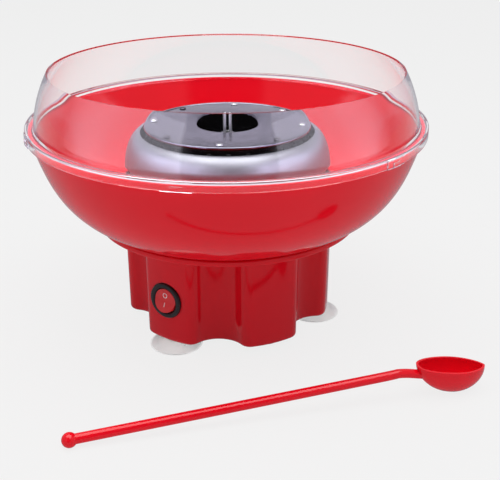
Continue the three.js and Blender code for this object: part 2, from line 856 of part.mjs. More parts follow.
function bearing(bottom) {
  const sleeve = shaftRadius + seatGap;
  return turned([
    [sleeve, bottom],
    [bearingRadius, bottom],
    [bearingRadius, bottom + bearingHeight],
    [sleeve, bottom + bearingHeight],
  ], motorRoundSteps);
}

function brush(side) {
  const geometry = new THREE.BoxGeometry(brushLength, brushWidth, brushWidth);
  const reach = commutatorRadius + seatGap + brushLength / 2;
  return geometry.translate(side * reach, 0, commutatorBottom + commutatorHeight / 2);
}

function fieldMagnet(side) {
  const outer = motorBoreFlat - seatGap;
  const inner = outer - magnetThickness;
  const half = (magnetSpread / 2) * degree;
  const middle = side > 0 ? Math.PI / 2 : -Math.PI / 2;
  const axis = new THREE.Vector3();
  const shape = new THREE.Shape([
    ...arcPoints(axis, outer, middle - half, middle + half, 6),
    ...arcPoints(axis, inner, middle + half, middle - half, 6),
  ]);
  return extruded(shape, magnetMiddle - magnetHeight / 2, magnetMiddle + magnetHeight / 2);
}

// Toothed core with its commutator on one sleeve
function armature() {
  const outer = motorBoreFlat - seatGap - magnetThickness - airGap;
  const sleeve = shaftRadius + seatGap;
  const axis = new THREE.Vector3();
  const floor = outer - armatureSlotDepth;
  const pitch = (2 * Math.PI) / armatureTeeth;
  const halfAtRim = armatureSlotWidth / 2 / outer;
  const halfAtFloor = armatureSlotWidth / 2 / floor;
  const outline = [];
  for (let tooth = 0; tooth < armatureTeeth; tooth += 1) {
    const [start, end] = [tooth * pitch, (tooth + 1) * pitch];
    outline.push(...arcPoints(axis, outer, start + halfAtRim, end - halfAtRim, 2));
    outline.push(...arcPoints(axis, floor, end - halfAtFloor, end + halfAtFloor, 1));
  }
  const shape = new THREE.Shape(outline);
  shape.holes.push(roundHole(sleeve, axis, motorRoundSteps));
  const core = extruded(shape, armatureBottom, armatureBottom + armatureHeight);
  const commutator = turned([
    [sleeve, commutatorBottom],
    [commutatorRadius, commutatorBottom],
    [commutatorRadius, armatureBottom + armatureStep],
    [sleeve, armatureBottom + armatureStep],
  ], motorRoundSteps);
  return joined(core, commutator);
}

// Shaft with a collar that carries the head, and a slot in its tip for the head's pin
function driveShaft() {
  const bottom = capTop + capPlug - bearingHeight;
  const grooveMiddle = shaftTop - tipGrooveBelowTip;
  const grooveFloor = shaftRadius - tipGrooveDepth;
  const collarTop = headTop - hubBottom - seatGap;
  const slotBottom = headTop - pinDepth - drivePinRadius - seatGap;
  const shaft = turned([
    [0, bottom],
    [shaftRadius, bottom],
    [shaftRadius, collarTop - collarHeight],
    [collarRadius, collarTop - collarHeight],
    [collarRadius, collarTop],
    [shaftRadius, collarTop],
    [shaftRadius, grooveMiddle - tipGrooveWidth / 2],
    [grooveFloor, grooveMiddle - tipGrooveWidth / 2],
    [grooveFloor, grooveMiddle + tipGrooveWidth / 2],
    [shaftRadius, grooveMiddle + tipGrooveWidth / 2],
    [shaftRadius, shaftTop, shaftTipEdge],
    [0, shaftTop],
  ], smallRoundSteps);
  const slot = new THREE.BoxGeometry(4 * shaftRadius, slotWidth, shaftTop - slotBottom + 1);
  slot.translate(0, 0, (shaftTop + slotBottom + 1) / 2);
  slot.rotateZ(pinTurn * degree);
  return cut(shaft, slot);
}

// A blade whose section turns flatter from hub to tip
function fanBlade(angle) {
  const sections = 3;
  const root = (shaftRadius + fanHubRadius) / 2;
  const rings = [];
  for (let s = 0; s <= sections; s += 1) {
    const share = s / sections;
    const reach = THREE.MathUtils.lerp(root, fanRadius, share);
    const chord = THREE.MathUtils.lerp(fanChordAtHub, fanChordAtTip, share);
    const pitch = THREE.MathUtils.lerp(fanPitchAtHub, fanPitchAtTip, share) * degree;
    const section = [
      [-chord / 2, -fanBladeThickness / 2],
      [0, fanBladeCamber - fanBladeThickness / 2],
      [chord / 2, -fanBladeThickness / 2],
      [chord / 2, fanBladeThickness / 2],
      [0, fanBladeCamber + fanBladeThickness / 2],
      [-chord / 2, fanBladeThickness / 2],
    ];
    rings.push(section.map(([x, z]) => new THREE.Vector3(
      reach,
      x * Math.cos(pitch) - z * Math.sin(pitch),
      x * Math.sin(pitch) + z * Math.cos(pitch),
    )));
  }
  return loft(rings, true).rotateZ(angle);
}

function coolingFan() {
  const sleeve = shaftRadius + seatGap;
  const hub = turned([
    [sleeve, -fanHubHeight / 2],
    [fanHubRadius, -fanHubHeight / 2],
    [fanHubRadius, fanHubHeight / 2, mouldedEdge],
    [sleeve, fanHubHeight / 2],
  ], motorRoundSteps);
  const blades = [];
  for (let blade = 0; blade < fanBlades; blade += 1) {
    blades.push(fanBlade((blade * 2 * Math.PI) / fanBlades));
  }
  return joined(hub, ...blades).translate(0, 0, deckTop + fanHeight);
}

// Inverted cup that stands on the deck, with a window over each flute
function heaterPedestal() {
  const inner = pedestalRadius - pedestalWall;
  const body = turned([
    [inner, pedestalSeat],
    [pedestalFlangeRadius, pedestalSeat],
    [pedestalFlangeRadius, pedestalSeat + pedestalWall],
    [pedestalRadius, pedestalSeat + pedestalWall],
    [pedestalRadius, pedestalTop, 2],
    [pedestalTopHole, pedestalTop],
    [pedestalTopHole, pedestalTop - pedestalWall],
    [inner, pedestalTop - pedestalWall],
  ], innerRoundSteps);
  const cuts = [];
  const windowMiddle = (pedestalSeat + pedestalTop) / 2;
  for (let k = 0; k < pedestalWindows; k += 1) {
    const angle = ((k + 0.5) * 2 * Math.PI) / pedestalWindows;
    const width = windowSpread * degree * (pedestalRadius + pedestalWall);
    cuts.push(ringBlock(
      inner - pedestalWall, pedestalRadius + pedestalWall, angle, width,
      windowMiddle - windowHeight / 2, windowMiddle + windowHeight / 2,
    ));
  }
  guardScrewLobes.forEach((lobe) => cuts.push(moved(
    bore(screwRadius + seatGap, deckTop - deckThickness, guardSeat + deckThickness),
    polar(guardScrewRadius, lobeAngle(lobe)),
  )));
  return cut(body, ...cuts);
}

// Spun shell: foot flange turned in, straight wall, quarter-ellipse dome up to the opening
function guardRing() {
  const domeSteps = 5;
  const domeFoot = guardTop - guardDomeRise;
  const outer = [];
  const inner = [];
  for (let s = 0; s <= domeSteps; s += 1) {
    const turn = ((Math.PI / 2) * s) / domeSteps;
    const run = guardRadius - guardOpeningRadius;
    outer.push([guardOpeningRadius + run * Math.cos(turn), domeFoot + guardDomeRise * Math.sin(turn)]);
    inner.unshift([
      guardOpeningRadius + (run - guardWall) * Math.cos(turn),
      domeFoot + (guardDomeRise - guardWall) * Math.sin(turn),
    ]);
  }
  const body = turned([
    [guardFootRadius, guardSeat],
    [guardRadius, guardSeat],
    ...outer,
    ...inner,
    [guardRadius - guardWall, guardSeat + guardWall],
    [guardFootRadius, guardSeat + guardWall],
  ], mediumRoundSteps);
  const holes = guardScrewLobes.map((lobe) => moved(
    bore(screwRadius + seatGap, guardSeat - guardWall, guardSeat + 2 * guardWall),
    polar(guardScrewRadius, lobeAngle(lobe)),
  ));
  return cut(body, ...holes);
}

// Pan with a raised trough under the element, and holes for the element's legs
function heaterPan() {
  const under = troughFloor - panThickness;
  const body = turned([
    [panHole, panSeat],
    [panFloorRadius, panSeat],
    [panTroughInner, under],
    [panTroughOuter, under],
    [panTroughOuter, troughFloor + panRimHeight],
    [panTroughOuter - panThickness, troughFloor + panRimHeight],
    [panTroughOuter - panThickness, troughFloor],
    [panTroughInner + panSlopeShift, troughFloor],
    [panFloorRadius + panSlopeShift, panSeat + panThickness],
    [panHole, panSeat + panThickness],
  ], innerRoundSteps);
  const holes = [-1, 1].map((side) => moved(
    bore(elementTubeRadius + elementLegGap, under - panThickness, troughFloor + panThickness),
    polar(elementRadius, side * elementLegAngle * degree),
  ));
  return cut(body, ...holes);
}

// The element's centre line: leg up, bend, almost a full turn, bend, leg down
class ElementPath extends THREE.Curve {
  constructor() {
    super();
    this.bendAngle = elementBend / elementRadius;
    this.ringSweep = 2 * (elementLegAngle * degree - this.bendAngle);
    this.lengths = [elementLegLength, (Math.PI / 2) * elementBend, this.ringSweep * elementRadius];
    this.total = 2 * (this.lengths[0] + this.lengths[1]) + this.lengths[2];
  }

  getPoint(t) {
    const top = troughFloor + elementHeight;
    const mirrored = t > 0.5;
    let along = (mirrored ? 1 - t : t) * this.total;
    const side = mirrored ? 1 : -1;
    const legAngle = elementLegAngle * degree;
    let angle;
    let height;
    if (along < this.lengths[0]) {
      angle = legAngle;
      height = top - elementBend - this.lengths[0] + along;
    } else if (along < this.lengths[0] + this.lengths[1]) {
      const turn = (along - this.lengths[0]) / elementBend;
      angle = legAngle - this.bendAngle * (1 - Math.cos(turn));
      height = top - elementBend + elementBend * Math.sin(turn);
    } else {
      along -= this.lengths[0] + this.lengths[1];
      angle = legAngle - this.bendAngle - along / elementRadius;
      height = top;
    }
    return polar(elementRadius, side * angle, height);
  }
}

function heatingElement() {
  const section = new THREE.Shape();
  section.absarc(0, 0, elementTubeRadius, 0, 2 * Math.PI, false);
  return new THREE.ExtrudeGeometry(section, {
    steps: 48, curveSegments: 3, bevelEnabled: false, extrudePath: new ElementPath(),
  });
}

// Ceramic block on the trough's floor with a round saddle under the element
function ceramicSupport(angle) {
  const bottom = seatGap;
  const top = elementHeight - supportBelowCentre;
  const half = supportLength / 2;
  const saddle = elementTubeRadius + seatGap;
  const dip = Math.asin((top - elementHeight) / saddle);
  const shape = new THREE.Shape([
    new THREE.Vector2(-half, bottom),
    new THREE.Vector2(half, bottom),
    new THREE.Vector2(half, top),
    ...arcPoints(new THREE.Vector3(0, elementHeight, 0), saddle, dip, -Math.PI - dip, 6),
    new THREE.Vector2(-half, top),
  ]);
  const geometry = extruded(shape, -supportWidth / 2, supportWidth / 2);
  geometry.rotateX(Math.PI / 2);
  geometry.translate(elementRadius, 0, troughFloor);
  return geometry.rotateZ(angle * degree);
}

function thermalCutout() {
  const top = pedestalTop - pedestalWall - seatGap;
  return moved(turned([
    [0, top - cutoutHeight],
    [cutoutRadius - cutoutStep, top - cutoutHeight],
    [cutoutRadius - cutoutStep, top - cutoutHeight / 2],
    [cutoutRadius, top - cutoutHeight / 2],
    [cutoutRadius, top],
    [0, top],
  ], motorRoundSteps), polar(cutoutOffset, cutoutAngle * degree));
}

function rectifierBoard() {
  const bottom = plateTop + standoffHeight + seatGap;
  const top = bottom + boardThickness;
  const board = new THREE.BoxGeometry(boardWidth, boardLength, boardThickness);
  board.translate(boardOffset, 0, (bottom + top) / 2);
  const capacitor = moved(
    rod(capacitorRadius, top - boardThickness / 2, top + capacitorHeight, motorRoundSteps),
    new THREE.Vector3(boardOffset + capacitorPlace[0], capacitorPlace[1], 0),
  );
  const diodes = [];
  for (let k = 0; k < diodeCount; k += 1) {
    const diode = new THREE.CylinderGeometry(diodeRadius, diodeRadius, diodeLength, 8);
    diode.rotateZ(Math.PI / 2);
    diode.translate(boardOffset, (k + 0.5) * diodePitch, top + diodeRadius / 2);
    diodes.push(diode);
  }
  return joined(board, capacitor, ...diodes);
}

// Top disc with a rolled edge, a round-lipped well and holes for the rivets
function headTopDisc() {
  const flat = -discStep;
  const under = flat - discThickness;
  const inside = discRadius - discEdgeWidth;
  const body = turned([
    [wellRadius, flat, mouldedEdge],
    [inside - discStep, flat],
    [inside, 0],
    [discRadius, 0, mouldedEdge],
    [discRadius, -discEdgeDepth],
    [discRadius - discThickness, -discEdgeDepth],
    [discRadius - discThickness, under],
    [wellRadius + wellWall, under],
    [wellRadius + wellWall, -wellDepth],
    [wellRadius, -wellDepth],
  ], mediumRoundSteps);
  return cut(body, ...rivetHoles());
}

function rivetPlaces() {
  return Array.from({ length: rivetCount }, (_, k) => polar(
    rivetCircleRadius, headTurn * degree + (k * 2 * Math.PI) / rivetCount,
  ));
}

function rivetHoles() {
  const hole = bore(rivetRadius + seatGap, -2 * bandBottom, rivetHeadHeight, rivetSteps);
  return rivetPlaces().map((spot) => moved(hole, spot));
}

// Side wall with a row of slots that the sugar spins out of
function headBand() {
  const top = -discStep - discThickness - seatGap;
  const inner = bandRadius - bandWall;
  const outer = Math.min(bandRadius, discRadius - discThickness - seatGap);
  const body = turned([
    [inner, -bandBottom],
    [outer, -bandBottom],
    [outer, top],
    [inner, top],
  ], mediumRoundSteps);
  const middle = (top - bandBottom) / 2;
  const slots = [];
  for (let k = 0; k < bandSlots; k += 1) {
    const slot = new THREE.BoxGeometry(4 * bandWall, bandSlotWidth, bandSlotHeight);
    slot.translate(bandRadius, 0, middle);
    slots.push(slot.rotateZ(((k + 0.5) * 2 * Math.PI) / bandSlots));
  }
  return cut(body, ...slots);
}

// Bottom pan with a cone that spreads the sugar outward
function headBottomPan() {
  const top = -bandBottom - seatGap;
  const sleeve = hubRadius + seatGap;
  const body = turned([
    [sleeve, top - panDiscThickness],
    [bandRadius, top - panDiscThickness],
    [bandRadius, top],
    [sugarConeRadius, top],
    [sleeve + sugarConeLip, top + sugarConeRise],
    [sleeve, top + sugarConeRise],
  ], mediumRoundSteps);
  return cut(body, ...rivetHoles());
}

function headHub() {
  const sleeve = shaftRadius + seatGap;
  const flangeTop = -headBottomUnder - seatGap;
  const body = turned([
    [sleeve, -hubBottom],
    [hubFlangeRadius, -hubBottom],
    [hubFlangeRadius, flangeTop],
    [hubRadius, flangeTop],
    [hubRadius, -hubTop],
    [sleeve, -hubTop],
  ], smallRoundSteps);
  const pinHole = bore(drivePinRadius + seatGap, -2 * hubRadius, 2 * hubRadius);
  pinHole.rotateY(Math.PI / 2);
  pinHole.rotateZ(pinTurn * degree);
  pinHole.translate(0, 0, -pinDepth);
  return cut(body, pinHole);
}

function headDrivePin() {
  const pin = rod(drivePinRadius, -hubRadius, hubRadius);
  pin.rotateY(Math.PI / 2);
  pin.rotateZ(pinTurn * degree);
  return pin.translate(0, 0, -pinDepth);
}

function headRivet() {
  const top = -discStep + seatGap;
  const bottom = -headBottomUnder - seatGap;
  return turned([
    [0, bottom - rivetHeadHeight],
    [rivetHeadRadius, bottom - rivetHeadHeight],
    [rivetHeadRadius, bottom],
    [rivetRadius, bottom],
    [rivetRadius, top],
    [rivetHeadRadius, top],
    [rivetHeadRadius * rivetCrown, top + rivetHeadHeight * rivetCrown],
    [0, top + rivetHeadHeight],
  ], rivetSteps);
}

// The wall's outer curve from the bottom edge up to the rim
function bowlCurve() {
  const curve = new THREE.CubicBezierCurve(
    new THREE.Vector2(bowlEdgeRadius, bowlEdgeRise),
    new THREE.Vector2(bowlEdgeRadius + bowlLowerPull[0], bowlEdgeRise + bowlLowerPull[1]),
    new THREE.Vector2(bowlRimRadius - bowlUpperPull[0], bowlHeight - bowlRimBand - bowlUpperPull[1]),
    new THREE.Vector2(bowlRimRadius, bowlHeight - bowlRimBand),
  );
  return curve.getPoints(bowlCurveSteps).map((p) => [p.x, p.y]);
}

function bowl() {
  const outer = bowlCurve();
  const inner = offsetRun(outer, -bowlWall).reverse();
  const collarInner = locatingRingRadius + slipGap;
  const collarOuter = collarInner + bowlCollarWall;
  return turned([
    [collarInner, 0],
    [bowlFootRadius, 0],
    ...outer,
    [bowlRimRadius, bowlHeight, mouldedEdge],
    [bowlRimRadius - bowlWall, bowlHeight, mouldedEdge],
    ...inner,
    [bowlFootRadius, bowlWall],
    [collarOuter, bowlWall],
    [collarOuter, bowlCollarHeight, mouldedEdge],
    [collarInner, bowlCollarHeight],
  ], largeRoundSteps);
}

// Clear ring that sits over the bowl's rim: domed wall, ledge, skirt and clips
function windshield() {
  const foot = flangeThickness;
  const [root, lip] = [[shieldFootRadius, foot], [shieldTopRadius, foot + shieldHeight]];
  const outer = bowed(root, lip, -shieldBulge, shieldCurveSteps);
  const inner = offsetRun(outer, -shieldWall).reverse();
  const skirtInner = skirtRadius - skirtWall;
  const ribOuter = bowlRimRadius - bowlWall - slipGap;
  const body = turned([
    [skirtInner, -skirtDrop],
    [skirtRadius, -skirtDrop],
    [skirtRadius, foot + ledgeBeadHeight, fineEdge],
    [skirtRadius - ledgeBeadWidth, foot + ledgeBeadHeight],
    [skirtRadius - ledgeBeadWidth - ledgeBeadSlope, foot],
    ...outer,
    ...inner,
    [shieldFootRadius - shieldWall, 0],
    [ribOuter - centringRibWall, 0],
    [ribOuter - centringRibWall, -centringRibDrop],
    [ribOuter, -centringRibDrop],
    [ribOuter, 0],
    [skirtInner, 0],
  ], largeRoundSteps);
  const clips = [];
  for (let k = 0; k < clipCount; k += 1) {
    const angle = clipTurn * degree + (k * 2 * Math.PI) / clipCount;
    const inside = skirtRadius - skirtWall / 2;
    clips.push(ringBlock(inside, skirtRadius + clipProud, angle, clipWidth, -skirtDrop, foot));
    clips.push(ringBlock(inside, skirtRadius + tabProud, angle, tabWidth, -skirtDrop, tabHeight - skirtDrop));
  }
  return joined(body, ...clips);
}

function switchBezel() {
  const well = rockerRadius + seatGap;
  const body = turned([
    [0, -switchBodyDepth],
    [switchBodyRadius, -switchBodyDepth],
    [switchBodyRadius, seatGap],
    [bezelRadius, seatGap],
    [bezelRadius, bezelThickness, mouldedEdge],
    [well, bezelThickness, fineEdge],
    [well, bezelThickness - rockerWellDepth],
    [0, bezelThickness - rockerWellDepth],
  ], smallRoundSteps);
  const terminals = [-1, 1].map((side) => {
    const tab = new THREE.BoxGeometry(terminalWidth, terminalThickness, 2 * terminalLength);
    return tab.translate(0, side * terminalOffset, -switchBodyDepth);
  });
  return joined(body, ...terminals);
}

// Ball-sided rocker with a shallow V face, drawn level about its pivot
function switchRocker() {
  const ball = new THREE.SphereGeometry(rockerRadius, 18, 12);
  const side = 2 * rockerRadius;
  const rise = rockerCrown + side * Math.tan(rockerAngle * degree);
  const shape = new THREE.Shape();
  shape.moveTo(-side, -rockerBack);
  shape.lineTo(side, -rockerBack);
  shape.lineTo(side, rise);
  shape.lineTo(0, rockerCrown);
  shape.lineTo(-side, rise);
  const face = extruded(shape, -side, side);
  face.applyMatrix4(new THREE.Matrix4().makeBasis(
    new THREE.Vector3(0, 1, 0), new THREE.Vector3(0, 0, 1), new THREE.Vector3(1, 0, 0),
  ));
  return common(ball, face);
}

function cordGland() {
  const inside = -glandWall - seatGap;
  return turned([
    [glandBore, inside - glandLockThickness],
    [glandNeckRadius, inside - glandLockThickness],
    [glandLockRadius, inside],
    [glandNeckRadius, inside],
    [glandNeckRadius, seatGap],
    [glandFlangeRadius, seatGap],
    [glandFlangeRadius, seatGap + glandFlangeThickness, mouldedEdge],
    [glandBore, seatGap + glandFlangeThickness, fineEdge],
  ], smallRoundSteps);
}

// The spoon's own frame: x runs from the ball to the scoop's tip, z up from the table
function spoonRim(scale, drop, wall) {
  const steps = 20;
  return Array.from({ length: steps }, (_, k) => {
    const turn = (k * 2 * Math.PI) / steps;
    const along = Math.cos(turn) * (scoopLength / 2 - wall) * scale
      + scoopBottomSet * Math.max(drop / scoopRimHeight, 0);
    const power = Math.cos(turn) > 0 ? scoopTipPower : scoopHandlePower;
    const across = Math.sign(Math.sin(turn)) * Math.abs(Math.sin(turn)) ** power;
    return new THREE.Vector3(along, across * (scoopWidth / 2 - wall) * scale, -drop);
  });
}

function spoonHandle() {
  const sides = 8;
  const steps = 8;
  const nearRim = scoopDistance - (scoopLength / 2) * Math.cos(scoopDip * degree);
  const line = new THREE.CatmullRomCurve3([
    new THREE.Vector3(0, 0, ballRadius),
    new THREE.Vector3(neckDistance / 2, 0, (ballRadius + neckHeight) / 2),
    new THREE.Vector3(neckDistance - neckBend, 0, neckHeight),
    new THREE.Vector3(nearRim + neckOverlap[0], 0, scoopRimHeight + neckOverlap[1]),
  ]);
  const across = new THREE.Vector3(0, 1, 0);
  const rings = [];
  for (let s = 0; s <= steps; s += 1) {
    const centre = line.getPointAt(s / steps);
    const up = line.getTangentAt(s / steps).cross(across).negate();
    const radius = THREE.MathUtils.lerp(handleRadiusAtBall, handleRadiusAtNeck, s / steps);
    rings.push(Array.from({ length: sides }, (_, k) => {
      const turn = (k * 2 * Math.PI) / sides;
      return centre.clone()
        .addScaledVector(across, radius * Math.cos(turn))
        .addScaledVector(up, radius * Math.sin(turn));
    }));
  }
  return loft(rings, true);
}

// Egg-shaped scoop whose bottom touches the table, with the handle and ball joined on
function sugarSpoon() {
  const levels = 4;
  const depth = scoopRimHeight;
  const outer = [spoonRim(scoopBottomShare, depth, 0)];
  const inner = [spoonRim(scoopBottomShare, depth - scoopWall, scoopWall)];
  for (let s = levels - 1; s >= 0; s -= 1) {
    const turn = ((Math.PI / 2) * s) / levels;
    outer.push(spoonRim(Math.cos(turn), depth * Math.sin(turn), 0));
    inner.push(spoonRim(Math.cos(turn), (depth - scoopWall) * Math.sin(turn), scoopWall));
  }
  const settled = (geometry) => geometry
    .rotateY(scoopDip * degree)
    .translate(scoopDistance, 0, scoopRimHeight);
  const shell = settled(loft([...outer, ...inner.slice().reverse()], true));
  const hollow = settled(loft([...inner, spoonRim(1, -2 * handleRadiusAtNeck, scoopWall)], true));
  shell.computeBoundingBox();
  const lift = -shell.boundingBox.min.z;
  shell.translate(0, 0, lift);
  hollow.translate(0, 0, lift);
  const ball = new THREE.SphereGeometry(ballRadius, 10, 6).translate(0, 0, ballRadius);
  return cut(joined(shell, spoonHandle(), ball), hollow);
}

// Assembly
const machine = new THREE.Group();
const base = new THREE.Group();
const rotor = new THREE.Group();
const head = new THREE.Group();
const bowlGroup = new THREE.Group();
const shieldGroup = new THREE.Group();
const switchGroup = new THREE.Group();
const rockerGroup = new THREE.Group();
const spoonGroup = new THREE.Group();

function place(group, name, geometry, material) {
  const mesh = new THREE.Mesh(tidy(geometry), material);
  mesh.name = name;
  group.add(mesh);
  return mesh;
}

place(base, 'base_housing', baseHousing(), redPlastic);
place(base, 'base_plate', basePlate(), blackPlastic);

const footNames = ['right', 'rear', 'switch_side'];
footLobes.forEach((lobe, k) => {
  const foot = place(base, `suction_foot_${footNames[k]}`, suctionFoot(), footPlastic);
  foot.position.copy(polar(footCircleRadius, lobeAngle(lobe)));
  foot.rotation.z = lobeAngle(lobe);
});

plateScrewLobes.forEach((lobe, k) => {
  const mesh = place(base, `base_screw_${k + 1}`, screw(plateScrewLength), dullSteel);
  mesh.position.copy(polar(plateScrewRadius, lobeAngle(lobe), plateBottom - seatGap));
});

place(base, 'motor_bracket', motorBracket(), dullSteel);
[0, Math.PI].forEach((angle, k) => {
  const mesh = place(base, `motor_screw_${k + 1}`, screw(motorBossLength + bracketThickness), dullSteel);
  mesh.position.copy(polar(motorMountRadius, angle, bracketTop - bracketThickness - seatGap));
});
place(base, 'motor_can', motorCan(), dullSteel);
place(base, 'motor_end_cap', motorEndCap(), blackPlastic);
place(base, 'upper_bearing', bearing(motorTop + noseHeight - bearingHeight - seatGap), brass);
place(base, 'lower_bearing', bearing(capTop + capPlug - bearingHeight), brass);
place(base, 'brush_left', brush(-1), magnetBlack);
place(base, 'brush_right', brush(1), magnetBlack);
place(base, 'field_magnet_rear', fieldMagnet(1), magnetBlack);
place(base, 'field_magnet_front', fieldMagnet(-1), magnetBlack);

place(base, 'heater_pedestal', heaterPedestal(), dullSteel);
place(base, 'heater_pan', heaterPan(), dullSteel);
place(base, 'heating_element', heatingElement(), dullSteel);
supportAngles.forEach((angle, k) => {
  place(base, `ceramic_support_${k + 1}`, ceramicSupport(angle), ceramic);
});
place(base, 'thermal_cutout', thermalCutout(), dullSteel);
place(base, 'guard_ring', guardRing(), polishedMetal);
guardScrewLobes.forEach((lobe, k) => {
  const mesh = place(base, `guard_screw_${k + 1}`, screw(guardScrewLength), dullSteel);
  mesh.position.copy(polar(guardScrewRadius, lobeAngle(lobe), deckUnder - seatGap));
});
place(base, 'rectifier_board', rectifierBoard(), boardBrown);

const gland = place(base, 'cord_gland', cordGland(), blackPlastic);
faceOutward(gland, glandSeatRadius, glandAngle * degree, glandHeight);

faceOutward(switchGroup, switchSeatRadius, switchLobeAngle * degree, switchHeight);
place(switchGroup, 'switch_bezel', switchBezel(), blackPlastic);
rockerGroup.position.z = bezelThickness - rockerPivotDepth;
rockerGroup.rotation.x = -rockerAngle * degree;
place(rockerGroup, 'switch_rocker', switchRocker(), redRocker);

place(rotor, 'drive_shaft', driveShaft(), brightSteel);
place(rotor, 'armature', armature(), dullSteel);
place(rotor, 'cooling_fan', coolingFan(), blackPlastic);

head.position.z = headTop;
place(head, 'head_top', headTopDisc(), headMetal);
place(head, 'head_band', headBand(), headMetal);
place(head, 'head_bottom', headBottomPan(), headMetal);
place(head, 'head_hub', headHub(), brightSteel);
place(head, 'head_drive_pin', headDrivePin(), brightSteel);
rivetPlaces().forEach((spot, k) => {
  place(head, `head_rivet_${k + 1}`, headRivet(), brightSteel).position.copy(spot);
});

bowlGroup.position.z = bowlSeat;
place(bowlGroup, 'bowl', bowl(), redPlastic);
shieldGroup.position.z = shieldSeat;
place(shieldGroup, 'windshield', windshield(), clearPlastic);

spoonGroup.position.set(spoonBallPlace[0], spoonBallPlace[1], 0);
spoonGroup.rotation.z = spoonTurn * degree;
place(spoonGroup, 'sugar_spoon', sugarSpoon(), redPlastic);

switchGroup.add(rockerGroup);
base.add(switchGroup);
rotor.add(head);
machine.add(base, rotor, bowlGroup, shieldGroup, spoonGroup);

export default machine;
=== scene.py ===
import json
from functools import partial
from math import atan2, copysign, cos, pi, radians, sin, tan

import bmesh
import bpy
from mathutils import Matrix, Vector


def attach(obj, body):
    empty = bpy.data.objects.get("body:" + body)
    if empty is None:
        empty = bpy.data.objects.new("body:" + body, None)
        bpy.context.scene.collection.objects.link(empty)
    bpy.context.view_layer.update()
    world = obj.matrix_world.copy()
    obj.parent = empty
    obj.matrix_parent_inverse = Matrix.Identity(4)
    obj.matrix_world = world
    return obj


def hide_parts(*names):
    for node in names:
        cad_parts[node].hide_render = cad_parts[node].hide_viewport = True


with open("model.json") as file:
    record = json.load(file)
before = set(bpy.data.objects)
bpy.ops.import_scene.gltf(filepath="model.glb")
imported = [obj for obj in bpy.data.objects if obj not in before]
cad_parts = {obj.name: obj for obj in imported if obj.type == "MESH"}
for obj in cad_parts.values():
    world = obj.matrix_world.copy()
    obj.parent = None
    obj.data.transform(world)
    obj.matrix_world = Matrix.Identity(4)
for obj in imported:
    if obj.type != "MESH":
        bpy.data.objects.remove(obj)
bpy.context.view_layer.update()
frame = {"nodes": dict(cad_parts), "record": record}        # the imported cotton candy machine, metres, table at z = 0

cadNodes = frame["nodes"]
mm = 0.001
print("frame loaded:", len(cadNodes), "nodes")


def newObject(name, data):
    made = bpy.data.objects.new(name, data)
    bpy.context.collection.objects.link(made)
    return made


# Camera, at the photo's angle

photoView = {
    "place": (0.06166, -0.60527, 0.3134),
    "tilt": 67.0,
    "turn": 4.363,
    "lens": 65.92,
}

cameraData = bpy.data.cameras.new("photoCamera")
cameraData.sensor_width = 36
cameraData.lens = photoView["lens"]
cameraData.clip_start = 0.01
cameraData.clip_end = 20
camera = newObject("photoCamera", cameraData)
camera.location = photoView["place"]
camera.rotation_euler = (radians(photoView["tilt"]), 0, radians(photoView["turn"]))
bpy.context.scene.camera = camera


# Nodes

def feed(tree, node, inputs):
    # each socket takes a value, an output, or a node's first output
    for socket, value in inputs.items():
        if isinstance(value, bpy.types.Node):
            value = value.outputs[0]
        if isinstance(value, bpy.types.NodeSocket):
            tree.links.new(value, node.inputs[socket])
        else:
            node.inputs[socket].default_value = value


def addNode(tree, kind, inputs=None, **settings):
    node = tree.nodes.new(kind)
    for setting, value in settings.items():
        setattr(node, setting, value)
    feed(tree, node, inputs or {})
    return node


def mathNode(tree, operation, *values, kind="ShaderNodeMath", **settings):
    return addNode(tree, kind, dict(enumerate(values)), operation=operation, **settings)


def vectorNode(tree, operation, *values):
    return mathNode(tree, operation, *values, kind="ShaderNodeVectorMath")


def mapRange(tree, value, start, end, low=0, high=1, **settings):
    inputs = {"Value": value, "From Min": start, "From Max": end, "To Min": low, "To Max": high}
    return addNode(tree, "ShaderNodeMapRange", inputs, **settings)


def partsOf(tree, vector):
    return addNode(tree, "ShaderNodeSeparateXYZ", {0: vector}).outputs


def blend(tree, share, first, second):
    return addNode(tree, "ShaderNodeMixShader", {0: share, 1: first, 2: second})


def objectPlace(tree):
    return addNode(tree, "ShaderNodeTexCoord").outputs["Object"]


def shaderOf(tree):
    return tree.nodes["Principled BSDF"]


def noiseOver(tree, scale, detail, stretch=(1, 1, 1)):
    mapping = addNode(tree, "ShaderNodeMapping", {"Vector": objectPlace(tree), "Scale": stretch})
    inputs = {"Vector": mapping, "Scale": scale, "Detail": detail}
    return addNode(tree, "ShaderNodeTexNoise", inputs)


def latheRings(tree, scale):
    # fine rings about the z axis, as a lathe or a spinning tool leaves them
    x, y, z = partsOf(tree, objectPlace(tree))
    flat = addNode(tree, "ShaderNodeCombineXYZ", {"X": x, "Y": y})
    reach = vectorNode(tree, "LENGTH", flat).outputs["Value"]
    line = addNode(tree, "ShaderNodeCombineXYZ", {"X": reach, "Y": z})
    inputs = {"Vector": line, "Scale": scale, "Detail": 2}
    return addNode(tree, "ShaderNodeTexNoise", inputs)


# Layers of a finish

def twoTones(tree, pattern, tones, edges=(0.35, 0.65)):
    ramp = addNode(tree, "ShaderNodeValToRGB", {"Fac": pattern})
    for stop, tone, edge in zip(ramp.color_ramp.elements, tones, edges):
        stop.position = edge
        stop.color = (*tone, 1)
    feed(tree, shaderOf(tree), {"Base Color": ramp})


def roughnessOver(tree, pattern, span, edges=(0.3, 0.7)):
    feed(tree, shaderOf(tree), {"Roughness": mapRange(tree, pattern, *edges, *span)})


def roughSurface(tree, pattern, depth):
    bump = addNode(tree, "ShaderNodeBump", {"Height": pattern, "Strength": 1, "Distance": depth})
    feed(tree, shaderOf(tree), {"Normal": bump})


